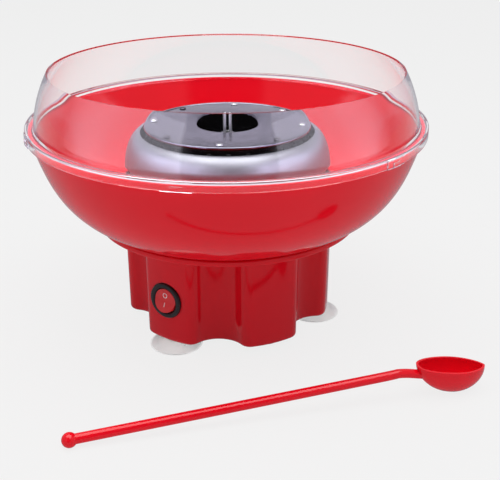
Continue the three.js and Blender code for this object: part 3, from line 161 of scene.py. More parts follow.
def shadeWhere(tree, share, tone):
    # the tone takes over from the finish's own colour as the share goes to 1
    colour = shaderOf(tree).inputs["Base Color"]
    inputs = {"Factor": share, "A": colour.links[0].from_socket, "B": (*tone, 1)}
    mixer = addNode(tree, "ShaderNodeMix", inputs, data_type="RGBA")
    tree.links.new(mixer.outputs["Result"], colour)


def letLampsThrough(tree, tint, deepest=3.5):
    # lamp light passes the clear wall, and light caught inside it gets out after a few turns
    path = addNode(tree, "ShaderNodeLightPath").outputs
    deep = mathNode(tree, "GREATER_THAN", path["Ray Depth"], deepest)
    passes = mathNode(tree, "MAXIMUM", path["Is Shadow Ray"], deep)
    clear = addNode(tree, "ShaderNodeBsdfTransparent", {"Color": (*tint, 1)})
    surface = blend(tree, passes, shaderOf(tree), clear)
    feed(tree, tree.nodes["Material Output"], {"Surface": surface})


# Finishes

def newFinish(name, colour, roughness, metallic=0.0, sockets=None):
    material = bpy.data.materials.new(name)
    material.use_nodes = True
    tree = material.node_tree
    values = {"Base Color": (*colour, 1), "Roughness": roughness, "Metallic": metallic}
    feed(tree, shaderOf(tree), {**values, **(sockets or {})})
    return material


def grainyFinish(name, tones, mottle, roughness, wear, grain=None, depth=0.0, metallic=0.0, sockets=None):
    # two mottled tones, uneven roughness and a fine bump, each from a noise of (scale, detail)
    material = newFinish(name, tones[0], roughness[0], metallic, sockets)
    tree = material.node_tree
    twoTones(tree, noiseOver(tree, *mottle), tones)
    roughnessOver(tree, noiseOver(tree, *wear), roughness)
    if grain:
        roughSurface(tree, noiseOver(tree, *grain), depth)
    return material


def glossyRed(name, tones, roughness, gloss):
    return grainyFinish(
        name, tones, mottle=(14, 2), roughness=(roughness - 0.03, roughness + 0.05), wear=(55, 4),
        grain=(420, 2), depth=0.00001, sockets={"IOR": 1.52, "Specular IOR Level": gloss})


def turnedMetal(name, tones, roughness, ringScale=900, depth=0.000004):
    material = grainyFinish(
        name, tones, mottle=(40, 4), roughness=(roughness - 0.02, roughness + 0.07), wear=(120, 4),
        metallic=1.0)
    tree = material.node_tree
    roughSurface(tree, latheRings(tree, ringScale), depth)
    return material


def clearFinish(name, tone, transmission, roughness, wear, grain, depth, shadowTint):
    sockets = {"Transmission Weight": transmission, "IOR": 1.40}
    material = newFinish(name, tone, roughness[0], sockets=sockets)
    tree = material.node_tree
    roughnessOver(tree, noiseOver(tree, *wear), roughness)
    roughSurface(tree, noiseOver(tree, *grain), depth)
    letLampsThrough(tree, shadowTint)
    return material


# painted light: a lighter copy of the base's red plastic for the bowl and the spoon, so that the base, standing in the
# bowl's shade, looks darker than they do
paintedLighterRed = glossyRed("glossyRedPaintedLighter", ((0.83, 0.0044, 0.016), (0.79, 0.0038, 0.014)), 0.09, 0.42)
heatedSteel = turnedMetal(
    "heatDarkenedSteel", ((0.022, 0.020, 0.026), (0.012, 0.011, 0.015)), 0.34, 1200, 0.000005)
# rivet steel; three of its heads get painted shade further down
rivetSteelPaintedShade = turnedMetal("rivetSteelPaintedShade", ((0.80, 0.80, 0.84), (0.72, 0.72, 0.77)), 0.22, 300, 0.000002)
# painted light: the shaft's steel is a lighter copy of the bright steel of the hub and pin, so that the shaft end
# reads bright inside the dark well
shaftSteel = turnedMetal("groundShaftSteel", ((0.90, 0.90, 0.93), (0.84, 0.84, 0.88)), 0.44, 900, 0.000002)
heaterSheath = grainyFinish(
    "heaterSheath", ((0.24, 0.22, 0.20), (0.11, 0.10, 0.11)), mottle=(70, 4), roughness=(0.38, 0.6),
    wear=(200, 4), grain=(1200, 3), depth=0.00003, metallic=0.85)
markWhite = grainyFinish(
    "markWhite", ((0.95, 0.78, 0.80), (0.88, 0.66, 0.70)), mottle=(900, 3), roughness=(0.4, 0.6),
    wear=(700, 3))

shieldTones = ((0.999, 0.998, 1.0), (0.95, 0.93, 0.985))        # seen head on, and along the wall
slotFinish = {
    # the base's red; the bowl and spoon repeat it painted lighter
    "red_plastic": glossyRed("glossyRedPlastic", ((0.74, 0.0042, 0.015), (0.70, 0.0036, 0.013)), 0.09, 0.33),
    "rocker_plastic": glossyRed("rockerRedPlastic", ((0.82, 0.022, 0.030), (0.74, 0.016, 0.024)), 0.3, 0.5),
    "clear_plastic": clearFinish(
        "clearShieldPlastic", shieldTones[0], transmission=1, roughness=(0.01, 0.03), wear=(30, 4),
        grain=(60, 2), depth=0.00002, shadowTint=(0.86, 0.85, 0.92)),
    "foot_plastic": clearFinish(
        "milkyFootPlastic", (0.97, 0.975, 0.97), transmission=0.8, roughness=(0.26, 0.40), wear=(80, 3),
        grain=(500, 2), depth=0.00001, shadowTint=(0.82, 0.83, 0.83)),
    "black_plastic": grainyFinish(
        "blackPlastic", ((0.014, 0.013, 0.015), (0.009, 0.008, 0.010)), mottle=(90, 3),
        roughness=(0.26, 0.44), wear=(160, 4), grain=(1800, 2), depth=0.00002),
    "head_metal": turnedMetal(
        "polishedHeadDisc", ((0.262, 0.250, 0.312), (0.230, 0.219, 0.276)), 0.16, 1400, 0.000003),
    "polished_metal": turnedMetal(
        "satinSpunGuard", ((0.385, 0.388, 0.43), (0.35, 0.353, 0.40)), 0.42, 900, 0.000003),
    "bright_steel": turnedMetal("brightSteel", ((0.72, 0.72, 0.75), (0.62, 0.62, 0.66)), 0.16),
    "dull_steel": turnedMetal("dullSteel", ((0.46, 0.46, 0.48), (0.36, 0.36, 0.38)), 0.38),
    "bronze": turnedMetal("sinteredBronze", ((0.55, 0.33, 0.12), (0.45, 0.25, 0.09)), 0.42),
    "ceramic": grainyFinish(
        "ceramicWhite", ((0.80, 0.76, 0.68), (0.68, 0.64, 0.56)), mottle=(260, 4), roughness=(0.55, 0.8),
        wear=(400, 3), grain=(1500, 3), depth=0.00005),
    "ferrite": grainyFinish(
        "ferriteBlack", ((0.035, 0.034, 0.036), (0.02, 0.02, 0.022)), mottle=(300, 4), roughness=(0.6, 0.85),
        wear=(500, 3), grain=(1600, 3), depth=0.00006),
    "board": grainyFinish(
        "boardBrown", ((0.33, 0.21, 0.09), (0.24, 0.15, 0.06)), mottle=(500, 5, (1, 8, 1)),
        roughness=(0.45, 0.7), wear=(300, 3), grain=(900, 3, (1, 8, 1)), depth=0.00003),
}

wellShade = {
    "tone": (0.010, 0.009, 0.012),
    "heights": (0.1404, 0.1416),        # full shade below the first, none above the second
}


def shadeTheWell(tree):
    # the polished disc turns dark where it drops into the sugar well
    height = partsOf(tree, objectPlace(tree))["Z"]
    shadeWhere(tree, mapRange(tree, height, *wellShade["heights"], 1, 0), wellShade["tone"])


# painted shade that takes the glint off three of the rivet heads
rivetPaintedShade = {
    "tone": (0.13, 0.12, 0.15),
    "diagonal": 0.0008,        # least product of x and y on a diagonal's rivets
    "rearRight": 0.03,         # least sum of x and y on the rivet that stays bright
}


def shadeSomeRivetHeads(tree):
    # painted shade: three heads are darkened so that they show no glint beside the bright ones: rear left, front left
    # and front right
    x, y, _ = partsOf(tree, objectPlace(tree))
    product = mathNode(tree, "ABSOLUTE", mathNode(tree, "MULTIPLY", x, y))
    onDiagonal = mathNode(tree, "GREATER_THAN", product, rivetPaintedShade["diagonal"])
    elsewhere = mathNode(tree, "LESS_THAN", mathNode(tree, "ADD", x, y), rivetPaintedShade["rearRight"])
    shadeWhere(tree, mathNode(tree, "MULTIPLY", onDiagonal, elsewhere), rivetPaintedShade["tone"])


clearTree = slotFinish["clear_plastic"].node_tree
along = addNode(clearTree, "ShaderNodeLayerWeight", {"Blend": 0.5}).outputs["Facing"]
twoTones(clearTree, along, shieldTones, (0.55, 1.0))
shadeTheWell(slotFinish["head_metal"].node_tree)
shadeSomeRivetHeads(rivetSteelPaintedShade.node_tree)
print("finishes ready")


# Shapes

def newPiece(name, shape):
    mesh = bpy.data.meshes.new(name)
    bmesh.ops.remove_doubles(shape, verts=shape.verts, dist=1e-7)
    bmesh.ops.recalc_face_normals(shape, faces=shape.faces)
    shape.to_mesh(mesh)
    shape.free()
    return newObject(name, mesh)


def shift(x, y, z):
    return Matrix.Translation((x * mm, y * mm, z * mm))


def spin(angle, axis):
    return Matrix.Rotation(radians(angle), 4, axis)


def quarterTurns(steps):
    return [pi / 2 * s / steps for s in range(steps + 1)]


def arcPoints(centre, start, end, steps):
    # start and end are seen from the centre
    sweep = atan2(start.x * end.y - start.y * end.x, start.dot(end))
    points = []
    for s in range(steps + 1):
        turn = sweep * s / steps
        x = start.x * cos(turn) - start.y * sin(turn)
        y = start.x * sin(turn) + start.y * cos(turn)
        points.append((centre.x + x, centre.y + y))
    return points


def rounded(corners, steps=6):
    # corners of (radius, height, fillet) in mm become points, with an arc where there is a fillet
    points = []
    for i, corner in enumerate(corners):
        here = Vector(corner[:2])
        if len(corner) < 3:
            points.append(tuple(here))
            continue
        toBefore = Vector(corners[i - 1][:2]) - here
        toAfter = Vector(corners[(i + 1) % len(corners)][:2]) - here
        room = min(toBefore.length, toAfter.length) / 2
        toBefore.normalize()
        toAfter.normalize()
        half = toBefore.angle(toAfter) / 2
        reach = min(corner[2] / tan(half), room)
        radius = reach * tan(half)
        centre = here + (toBefore + toAfter).normalized() * (radius / sin(half))
        start, end = here + toBefore * reach - centre, here + toAfter * reach - centre
        points += arcPoints(centre, start, end, steps)
    return points


def offsetRun(points, distance):
    # the same run of points moved to its right by a wall's thickness
    moved = []
    for i, (x, y) in enumerate(points):
        before = Vector(points[max(i - 1, 0)])
        after = Vector(points[min(i + 1, len(points) - 1)])
        along = (after - before).normalized()
        moved.append((x + along.y * distance, y - along.x * distance))
    return moved


def bowedRun(start, end, bulge, steps):
    # an arc from start to end that bows to the left of the way by bulge
    a, b = Vector(start), Vector(end)
    half = (b - a).length / 2
    radius = (half * half + bulge * bulge) / (2 * bulge)
    along = (b - a).normalized()
    left = Vector((-along.y, along.x))
    centre = (a + b) / 2 + left * (bulge - radius)
    return arcPoints(centre, a - centre, b - centre, steps)


def turnedPiece(name, profile, around=192, lift=0.0):
    # a profile of (radius, height) in mm turned about z, closed on itself where it misses the axis
    shape = bmesh.new()
    turns = [2 * pi * k / around for k in range(around)]
    rings = []
    for radius, height in profile:
        z = (height + lift) * mm
        if radius < 1e-6:
            rings.append([shape.verts.new((0, 0, z))])
            continue
        r = radius * mm
        rings.append([shape.verts.new((r * cos(t), r * sin(t), z)) for t in turns])
    pairs = list(zip(rings, rings[1:]))
    if profile[0][0] > 1e-6:
        pairs.append((rings[-1], rings[0]))
    for low, high in pairs:
        for k in range(around):
            n = k + 1
            corners = [low[k % len(low)], low[n % len(low)], high[n % len(high)], high[k % len(high)]]
            corners = list(dict.fromkeys(corners))
            if len(corners) > 2:
                shape.faces.new(corners)
    return newPiece(name, shape)


def loftPiece(name, rings):
    # a skin over rings of points, with both ends closed
    shape = bmesh.new()
    layers = [[shape.verts.new(p) for p in ring] for ring in rings]
    shape.faces.new(list(reversed(layers[0])))
    shape.faces.new(layers[-1])
    for low, high in zip(layers, layers[1:]):
        for k in range(len(low)):
            n = (k + 1) % len(low)
            shape.faces.new([low[k], low[n], high[n], high[k]])
    return newPiece(name, shape)


def rod(name, radius, low, high, around=48):
    return turnedPiece(name, [(0, low), (radius, low), (radius, high), (0, high)], around)


def ballPiece(name, radius, around, levels):
    shape = bmesh.new()
    bmesh.ops.create_uvsphere(shape, u_segments=around, v_segments=levels, radius=radius * mm)
    return newPiece(name, shape)


def blockPiece(name, size, place=Matrix.Identity(4)):
    shape = bmesh.new()
    bmesh.ops.create_cube(shape, size=1)
    bmesh.ops.scale(shape, vec=[s * mm for s in size], verts=shape.verts)
    bmesh.ops.transform(shape, matrix=place, verts=shape.verts)
    return newPiece(name, shape)


def settle(piece):
    # modifiers become mesh, and the piece stays at the origin
    bpy.context.view_layer.update()
    graph = bpy.context.evaluated_depsgraph_get()
    made = bpy.data.meshes.new_from_object(piece.evaluated_get(graph))
    made.name = piece.name
    piece.modifiers.clear()
    piece.data = made
    return piece


def addModifier(piece, kind, **settings):
    change = piece.modifiers.new(kind.lower(), kind)
    for setting, value in settings.items():
        setattr(change, setting, value)
    return change


def carve(piece, cutters, operation="DIFFERENCE"):
    for cutter in cutters:
        addModifier(piece, "BOOLEAN", operation=operation, solver="EXACT", object=cutter)
    settle(piece)
    for cutter in cutters:
        bpy.data.objects.remove(cutter)
    return piece


def softenEdges(piece, width, segments=2, angle=40):
    addModifier(piece, "BEVEL", width=width * mm, segments=segments, limit_method="ANGLE",
                angle_limit=radians(angle))
    return settle(piece)


def placed(piece, matrix):
    piece.data.transform(matrix)
    return piece


def finishPiece(piece, body, slotName, *stoodFor, finish=None, sharp=32):
    mesh = piece.data
    mesh.materials.clear()
    mesh.materials.append(finish or slotFinish[slotName])
    mesh.shade_smooth()
    mesh.set_sharp_from_angle(angle=radians(sharp))
    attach(piece, body)
    if stoodFor:
        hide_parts(*stoodFor)
    return piece


def outwardPlace(radius, angle, height):
    # local z points outward at the angle and local y up, as the switch and the gland sit
    turn = radians(angle)
    seat = shift(radius * cos(turn), radius * sin(turn), height)
    return seat @ spin(angle + 90, "Z") @ spin(90, "X")


# Geometry nodes trees

def newTree(name, **sockets):
    tree = bpy.data.node_groups.new(name, "GeometryNodeTree")
    kinds = {"Geometry": "Geometry", **sockets, "Finish": "Material"}
    for socketName, kind in kinds.items():
        tree.interface.new_socket(socketName, in_out="INPUT", socket_type="NodeSocket" + kind)
    tree.interface.new_socket("Geometry", in_out="OUTPUT", socket_type="NodeSocketGeometry")
    return tree, tree.nodes.new("NodeGroupInput").outputs


def endTree(tree, geometry, finish):
    paint = addNode(tree, "GeometryNodeSetMaterial", {"Geometry": geometry, "Material": finish})
    addNode(tree, "NodeGroupOutput", {"Geometry": paint})
    return tree


def giveTree(piece, tree, values):
    layer = addModifier(piece, "NODES", node_group=tree)
    for socket in tree.interface.items_tree:
        if socket.in_out == "INPUT" and socket.name in values:
            layer[socket.identifier] = values[socket.name]
    return settle(piece)


def ringTree():
    # copies of a piece in a ring
    tree, given = newTree("copiesInARing", **{"Count": "Int", "Radius": "Float", "First Angle": "Float"})
    inputs = {"Vertices": given["Count"], "Radius": given["Radius"]}
    circle = addNode(tree, "GeometryNodeMeshCircle", inputs, fill_type="NONE")
    index = addNode(tree, "GeometryNodeInputIndex")
    angle = mathNode(tree, "MULTIPLY", index, mathNode(tree, "DIVIDE", 2 * pi, given["Count"]))
    turn = addNode(tree, "ShaderNodeCombineXYZ", {"Z": angle})
    asRotation = addNode(tree, "FunctionNodeEulerToRotation", {0: turn})
    inputs = {"Points": circle, "Instance": given["Geometry"], "Rotation": asRotation}
    copies = addNode(tree, "GeometryNodeInstanceOnPoints", inputs)
    whole = addNode(tree, "GeometryNodeRealizeInstances", {"Geometry": copies})
    wholeTurn = addNode(tree, "ShaderNodeCombineXYZ", {"Z": given["First Angle"]})
    turned = addNode(tree, "GeometryNodeTransform", {"Geometry": whole, "Rotation": wholeTurn})
    return endTree(tree, turned, given["Finish"])


copiesInARing = ringTree()


def inARing(piece, count, radius, firstAngle, finish):
    return giveTree(piece, copiesInARing, {
        "Count": count,
        "Radius": radius * mm,
        "First Angle": radians(firstAngle),
        "Finish": finish,
    })


def fluteTree():
    # each fluted point moves along its radius to the outline of lobes, round corners and concave flutes
    lengths = ("Lobe Radius", "Flute Centre", "Flute Radius", "Corner Radius")
    tree, given = newTree("lobesAndFlutes", Lobes="Int", **{name: "Float" for name in lengths})
    lobe, centre, fluteRadius, cornerRadius = (given[name] for name in lengths)
    calc = partial(mathNode, tree)
    plus, minus, times, over, power = (
        partial(calc, kind) for kind in ("ADD", "SUBTRACT", "MULTIPLY", "DIVIDE", "POWER"))

    x, y, z = partsOf(tree, addNode(tree, "GeometryNodeInputPosition"))
    reach = calc("SQRT", plus(times(x, x), times(y, y)))
    inset = minus(lobe, reach)

    # the angle from the nearest flute's middle
    pitch = over(2 * pi, given["Lobes"])
    fromLobe = calc("PINGPONG", over(calc("ARCTAN2", y, x), pitch), 0.5)
    angle = times(minus(0.5, fromLobe), pitch)

    # where a corner's centre lies, and where the corner meets the flute
    corner = minus(lobe, cornerRadius)
    gap = plus(fluteRadius, cornerRadius)
    squares = minus(plus(power(centre, 2), power(corner, 2)), power(gap, 2))
    lean = calc("ARCCOSINE", over(squares, times(2, times(centre, corner))))
    flute = plus(fluteRadius, inset)
    share = over(flute, gap)
    meetX = plus(centre, times(share, minus(times(corner, calc("COSINE", lean)), centre)))
    meetY = times(share, times(corner, calc("SINE", lean)))
    meet = calc("ARCTAN2", meetY, meetX)

    # the outline's radius on each of the three arcs
    across = power(times(centre, calc("SINE", angle)), 2)
    sunk = calc("SQRT", calc("MAXIMUM", minus(power(flute, 2), across), 0))
    onFlute = minus(times(centre, calc("COSINE", angle)), sunk)
    side = minus(angle, lean)
    across = power(times(corner, calc("SINE", side)), 2)
    proud = calc("SQRT", calc("MAXIMUM", minus(power(minus(cornerRadius, inset), 2), across), 0))
    onCorner = plus(times(corner, calc("COSINE", side)), proud)
    inFlute = calc("LESS_THAN", angle, meet)
    inCorner = minus(calc("LESS_THAN", angle, lean), inFlute)
    onLobe = minus(1, plus(inFlute, inCorner))
    outline = plus(times(inFlute, onFlute), plus(times(inCorner, onCorner), times(onLobe, reach)))

    # only points marked as fluted move
    mark = addNode(tree, "GeometryNodeInputNamedAttribute", {"Name": "fluted"}, data_type="FLOAT")
    scale = over(plus(reach, times(mark, minus(outline, reach))), reach)
    moved = addNode(tree, "ShaderNodeCombineXYZ", {"X": times(x, scale), "Y": times(y, scale), "Z": z})
    inputs = {"Geometry": given["Geometry"], "Position": moved}
    whole = addNode(tree, "GeometryNodeRealizeInstances", {
        "Geometry": addNode(tree, "GeometryNodeSetPosition", inputs)})
    return endTree(tree, whole, given["Finish"])


lobesAndFlutes = fluteTree()
print("geometry node trees ready")


# Base housing

base = {
    "bottom": 6.0,
    "deckTop": 79.0,
    "lobes": 6,
    "lobeRadius": 72.8,
    "fluteCentre": 77.3, "fluteRadius": 17.5,
    "cornerRadius": 8.2,
    "draft": 0.4,
    "wall": 3.0,
    "bottomEdge": 2.6,
    "rimRadius": 90.9, "rimThickness": 3.8, "rimEdge": 1.0,
    "deckThickness": 3.0, "deckOpening": 41.0,
    "ringRadius": 74.2, "ringWall": 2.0, "ringHeight": 5.0,
    "flutesEnd": 1.2,
    "around": 720,
}


def wallInset(height, draft, top, bottom):
    return draft * (top - height) / (top - bottom)


def housingProfile():
    # points of (radius, height, whether the point is fluted)
    top, bottom, outside = base["deckTop"], base["bottom"], base["lobeRadius"]
    rimUnder = top - base["rimThickness"]
    deckUnder = top - base["deckThickness"]
    draft, edge = base["draft"], base["bottomEdge"]
    wallFoot = bottom + edge
    points = []
    for turn in quarterTurns(6):
        inset, rise = edge * (1 - sin(turn)), edge * (1 - cos(turn))
        points.append((outside - draft - inset, bottom + rise, 1))
    for s in range(1, 6):
        height = wallFoot + (rimUnder - base["flutesEnd"] - wallFoot) * s / 5
        points.append((outside - wallInset(height, draft, rimUnder, wallFoot), height, 1))
    points.append((outside, rimUnder, 1))
    rim, rimEdge = base["rimRadius"], base["rimEdge"]
    ring, ringTop = base["ringRadius"], top + base["ringHeight"]
    ringInner = ring - base["ringWall"]
    upper = rounded([
        (rim, rimUnder, rimEdge), (rim, top, rimEdge), (ring, top, 0.6), (ring, ringTop, 0.5),
        (ringInner, ringTop, 0.5), (ringInner, top, 0.6), (base["deckOpening"], top, 0.6),
        (base["deckOpening"], deckUnder, 0.6), (outside - base["wall"], deckUnder),
    ], 4)
    points += [(r, z, 0) for r, z in upper[:-1]]
    for s in range(5):
        height = deckUnder + (bottom - deckUnder) * s / 4
        inset = base["wall"] + wallInset(height, draft, deckUnder, bottom)
        points.append((outside - inset, height, 1))
    return points


def buildHousing():
    points = housingProfile()
    housing = turnedPiece("baseHousing", [(r, z) for r, z, _ in points], base["around"])
    fluted = housing.data.attributes.new("fluted", "FLOAT", "POINT")
    fluted.data.foreach_set("value", [share for _, _, share in points for _ in range(base["around"])])
    return giveTree(housing, lobesAndFlutes, {
        "Lobes": base["lobes"],
        "Lobe Radius": base["lobeRadius"] * mm,
        "Flute Centre": base["fluteCentre"] * mm,
        "Flute Radius": base["fluteRadius"] * mm,
        "Corner Radius": base["cornerRadius"] * mm,
        "Finish": slotFinish["red_plastic"],
    })


housing = buildHousing()


# Switch

switch = {
    "angle": -120,
    "height": 36.7,
    "seatDepth": 1.2,
    "ringRadius": 12.4, "ringThickness": 2.6,
    "bodyRadius": 10.0, "bodyDepth": 14.0,
    "rockerRadius": 8.5,
    "wellDepth": 9.6,
    "pivotDepth": 1.8,
    "crown": 1.0,
    "tilt": 11.0,
    "back": 3.2,
    "seatGap": 0.3,
    "slip": 0.4,
}
marks = {
    "ring": (1.3, 1.9), "ringOut": 3.6,
    "bar": (0.65, 3.1), "barOut": 3.0,
    "proud": 0.12,
}


def wallRadius(outline, height):
    rimUnder = base["deckTop"] - base["rimThickness"]
    return outline - wallInset(height, base["draft"], rimUnder, base["bottom"] + base["bottomEdge"])


switchSeat = wallRadius(base["lobeRadius"], switch["height"]) - switch["seatDepth"]
switchPlace = outwardPlace(switchSeat, switch["angle"], switch["height"])


def buildSwitchRing():
    gap, thick, radius = switch["seatGap"], switch["ringThickness"], switch["ringRadius"]
    body, bottom = switch["bodyRadius"], -switch["bodyDepth"]
    well, wellFloor = switch["rockerRadius"] + gap, thick - switch["wellDepth"]
    ring = turnedPiece("switchRing", rounded([
        (0, bottom), (body, bottom, 0.5), (body, gap), (radius, gap, 0.2), (radius, thick, 1.3),
        (well + 0.9, thick, 0.5), (well, thick - 1.0, 0.4), (well, wellFloor), (0, wellFloor),
    ]), 96)
    finishPiece(placed(ring, switchPlace), "base", "black_plastic", "switch_bezel")


def buildRocker():
    # a ball cut to a back and to two faces that meet in a valley
    radius, crown, back = switch["rockerRadius"], switch["crown"], -switch["back"]
    ball = ballPiece("switchRocker", radius, 64, 40)
    side = 2 * radius
    rise = crown + side * tan(radians(switch["tilt"]))
    outline = [(-side, back), (side, back), (side, rise), (0, crown), (-side, rise)]
    wedge = loftPiece("rockerWedge", [[Vector((x, y, z)) * mm for y, z in outline] for x in (-side, side)])
    carve(ball, [wedge], "INTERSECT")
    return softenEdges(ball, 0.35, 2, 50)


rockerLift = switch["ringThickness"] - switch["pivotDepth"]
rockerPlace = switchPlace @ shift(0, 0, rockerLift) @ spin(-switch["tilt"], "X")


def buildMarks():
    # generic off and on marks, O above and I below, each on its half of the rocker's face
    (inner, outer), proud = marks["ring"], marks["proud"]
    ring = turnedPiece("markOff", rounded([
        (inner, 0), (outer, 0), (outer, proud, 0.05), (inner, proud, 0.05),
    ], 2), 40)
    bar = softenEdges(blockPiece("markOn", (*marks["bar"], 2 * proud)), 0.08)
    for mark, side, out in ((ring, 1, marks["ringOut"]), (bar, -1, marks["barOut"])):
        onFace = shift(0, 0, switch["crown"]) @ spin(side * switch["tilt"], "X") @ shift(0, side * out, 0)
        finishPiece(placed(mark, rockerPlace @ onFace), "rocker", "rocker_plastic", finish=markWhite)


pocket = placed(rod("pocket", switch["ringRadius"] + switch["slip"], 0, 6, 96), switchPlace)
bodyHole = placed(
    rod("bodyHole", switch["bodyRadius"] + switch["seatGap"], -switch["bodyDepth"], 3, 96), switchPlace)


# Cord gland, in the rear wall

gland = {
    "angle": 90,
    "height": 22.0,
    "seatDepth": 0.2,
    "neck": 6.2,
    "flange": 8.0, "flangeThickness": 2.4,
    "bore": 3.8,
    "lock": 7.6, "lockThickness": 1.8,
    "gap": 0.3,
}
glandSeat = wallRadius(base["fluteCentre"] - base["fluteRadius"], gland["height"]) - gland["seatDepth"]
glandPlace = outwardPlace(glandSeat, gland["angle"], gland["height"])


def buildGland():
    bore, neck, gap = gland["bore"], gland["neck"], gland["gap"]
    inside = -base["wall"] - gap
    lockEnd, outside = inside - gland["lockThickness"], gap + gland["flangeThickness"]
    bush = turnedPiece("cordGland", rounded([
        (bore, lockEnd), (neck, lockEnd, 0.4), (gland["lock"], inside, 0.2), (neck, inside),
        (neck, gap), (gland["flange"], gap, 0.2), (gland["flange"], outside, 1.1),
        (bore, outside, 0.8),
    ]), 72)
    finishPiece(placed(bush, glandPlace), "base", "black_plastic", "cord_gland")


glandPocket = placed(rod("glandPocket", gland["flange"] + switch["slip"], 0, 9, 72), glandPlace)
glandHole = placed(rod("glandHole", gland["neck"] + gland["gap"], -6, 3, 72), glandPlace)

carve(housing, [pocket, bodyHole, glandPocket, glandHole])
finishPiece(housing, "base", "red_plastic", "base_housing")
buildSwitchRing()
buildGland()
rocker = placed(buildRocker(), rockerPlace)
finishPiece(rocker, "rocker", "rocker_plastic", "switch_rocker")
buildMarks()
print("base, switch and gland ready")


# Bowl

bowl = {
    "seat": 79.3,
    "height": 64.8,
    "wall": 2.3,
    "rimRadius": 133.3, "rimBand": 1.1,
    "edgeRadius": 91.8, "edgeRise": 0.7,
    "footRadius": 87.5,
    "upperPull": (8.5, 28.2),
    "lowerPull": (27.2, 15.1),
    "collarInner": 74.6, "collarWall": 2.4, "collarHeight": 12.5,
}


def bowlCurve(steps):
    start = Vector((bowl["edgeRadius"], bowl["edgeRise"]))
    end = Vector((bowl["rimRadius"], bowl["height"] - bowl["rimBand"]))
    low, high = start + Vector(bowl["lowerPull"]), end - Vector(bowl["upperPull"])
    points = []
    for s in range(steps + 1):
        t = s / steps
        u = 1 - t
        points.append(tuple(start * u ** 3 + low * (3 * u * u * t) + high * (3 * u * t * t) + end * t ** 3))
    return points


def buildBowl():
    wall, rimRadius, height = bowl["wall"], bowl["rimRadius"], bowl["height"]
    outer = bowlCurve(36)
    inner = list(reversed(offsetRun(outer, -wall)))
    collarInner, collarTop = bowl["collarInner"], bowl["collarHeight"]
    collar = collarInner + bowl["collarWall"]
    bottom = rounded([(collarInner, 0, 0.5), (bowl["footRadius"], 0, 0.8), outer[1]], 4)[:-1]
    rim = rounded([outer[-1], (rimRadius, height, 0.9), (rimRadius - wall, height, 0.9), inner[0]], 5)[1:-1]
    floor = rounded([
        inner[-2],
        (bowl["footRadius"], wall, 3.0), (collar, wall, 1.2), (collar, collarTop, 0.9),
        (collarInner, collarTop, 0.9), (collarInner, 0),
    ], 5)[1:-1]
    shell = turnedPiece("bowlShell", bottom + outer + rim + inner + floor, 240, bowl["seat"])
    # the bowl takes the red painted lighter than the base's
    finishPiece(shell, "bowl", "red_plastic", "bowl", finish=paintedLighterRed)


buildBowl()


# Windshield

shield = {
    "seat": 144.4,
    "flange": 1.8,
    "skirtRadius": 135.5, "skirtWall": 1.8, "skirtDrop": 4.2,
    "height": 35.0,
    "footRadius": 129.9,
    "topRadius": 118.8,
    "bulge": 1.8,
    "wall": 1.6,
    "lipTaper": 0.3,
    "taperDrop": 7.0,
    "bead": 0.5, "beadWidth": 1.6,
    "ribInset": 2.7, "ribWall": 1.2, "ribDrop": 1.6,
    "clips": 6,
    "clipTurn": -96.5, "clipWidth": 18.7, "clipProud": 0.6,
    "tabWidth": 7.6, "tabHeight": 3.5, "tabProud": 1.0,
}


def ringBlock(name, inner, outer, width, low, high):
    # a block of a ring, centred on +x
    half, steps = width / 2 / outer, 10
    turns = [-half + 2 * half * s / steps for s in range(steps + 1)]
    sides = [(outer, t) for t in turns] + [(inner, t) for t in reversed(turns)]
    layers = [[Vector((r * cos(t), r * sin(t), z)) * mm for r, t in sides] for z in (low, high)]
    return softenEdges(loftPiece(name, layers), 0.25, 2, 50)


def buildShield():
    foot, footRadius, wall = shield["flange"], shield["footRadius"], shield["wall"]
    outer = bowedRun((footRadius, foot), (shield["topRadius"], foot + shield["height"]), -shield["bulge"], 20)
    inner = []
    for r, z in reversed(offsetRun(outer, -wall)):
        near = max(1 - (outer[-1][1] - z) / shield["taperDrop"], 0)
        inner.append((r + shield["lipTaper"] * near ** 2, z))
    skirt, drop = shield["skirtRadius"], -shield["skirtDrop"]
    skirtInner = skirt - shield["skirtWall"]
    bead, beadTop = skirt - shield["beadWidth"], foot + shield["bead"]
    rib = bowl["rimRadius"] - shield["ribInset"]
    ribInner, ribDrop = rib - shield["ribWall"], -shield["ribDrop"]
    edge = rounded([
        (skirtInner, drop, 0.4), (skirt, drop, 0.5), (skirt, beadTop, 0.6), (bead, beadTop, 0.3),
        (bead - 0.4, foot), (footRadius + 0.8, foot),
    ], 4)
    under = rounded([
        (footRadius - wall - 0.5, 0.4, 0.3), (ribInner, 0), (ribInner, ribDrop, 0.3),
        (rib, ribDrop, 0.3), (rib, 0), (skirtInner, 0),
    ], 3)
    seat = shield["seat"]
    ring = turnedPiece("windshield", edge + outer[1:] + inner[:-1] + under, 240, seat)
    inside, low = skirt - shield["skirtWall"] / 2, seat + drop
    clips = [
        ringBlock("clipPads", inside, skirt + shield["clipProud"], shield["clipWidth"], low, seat + foot),
        ringBlock("clipTabs", inside, skirt + shield["tabProud"], shield["tabWidth"],
                  low, low + shield["tabHeight"]),
    ]
    for block in clips:
        inARing(block, shield["clips"], 0.0, shield["clipTurn"], slotFinish["clear_plastic"])
    carve(ring, clips, "UNION")
    return finishPiece(ring, "windshield", "clear_plastic", "windshield")


clearWall = buildShield()
print("bowl and windshield ready")


# Guard

guard = {
    "seat": 81.6,
    "top": 137.6,
    "radius": 71.2,
    "opening": 59.8,
    "domeRise": 25.6,
    "wall": 1.0,
    "foot": 57.0,
}


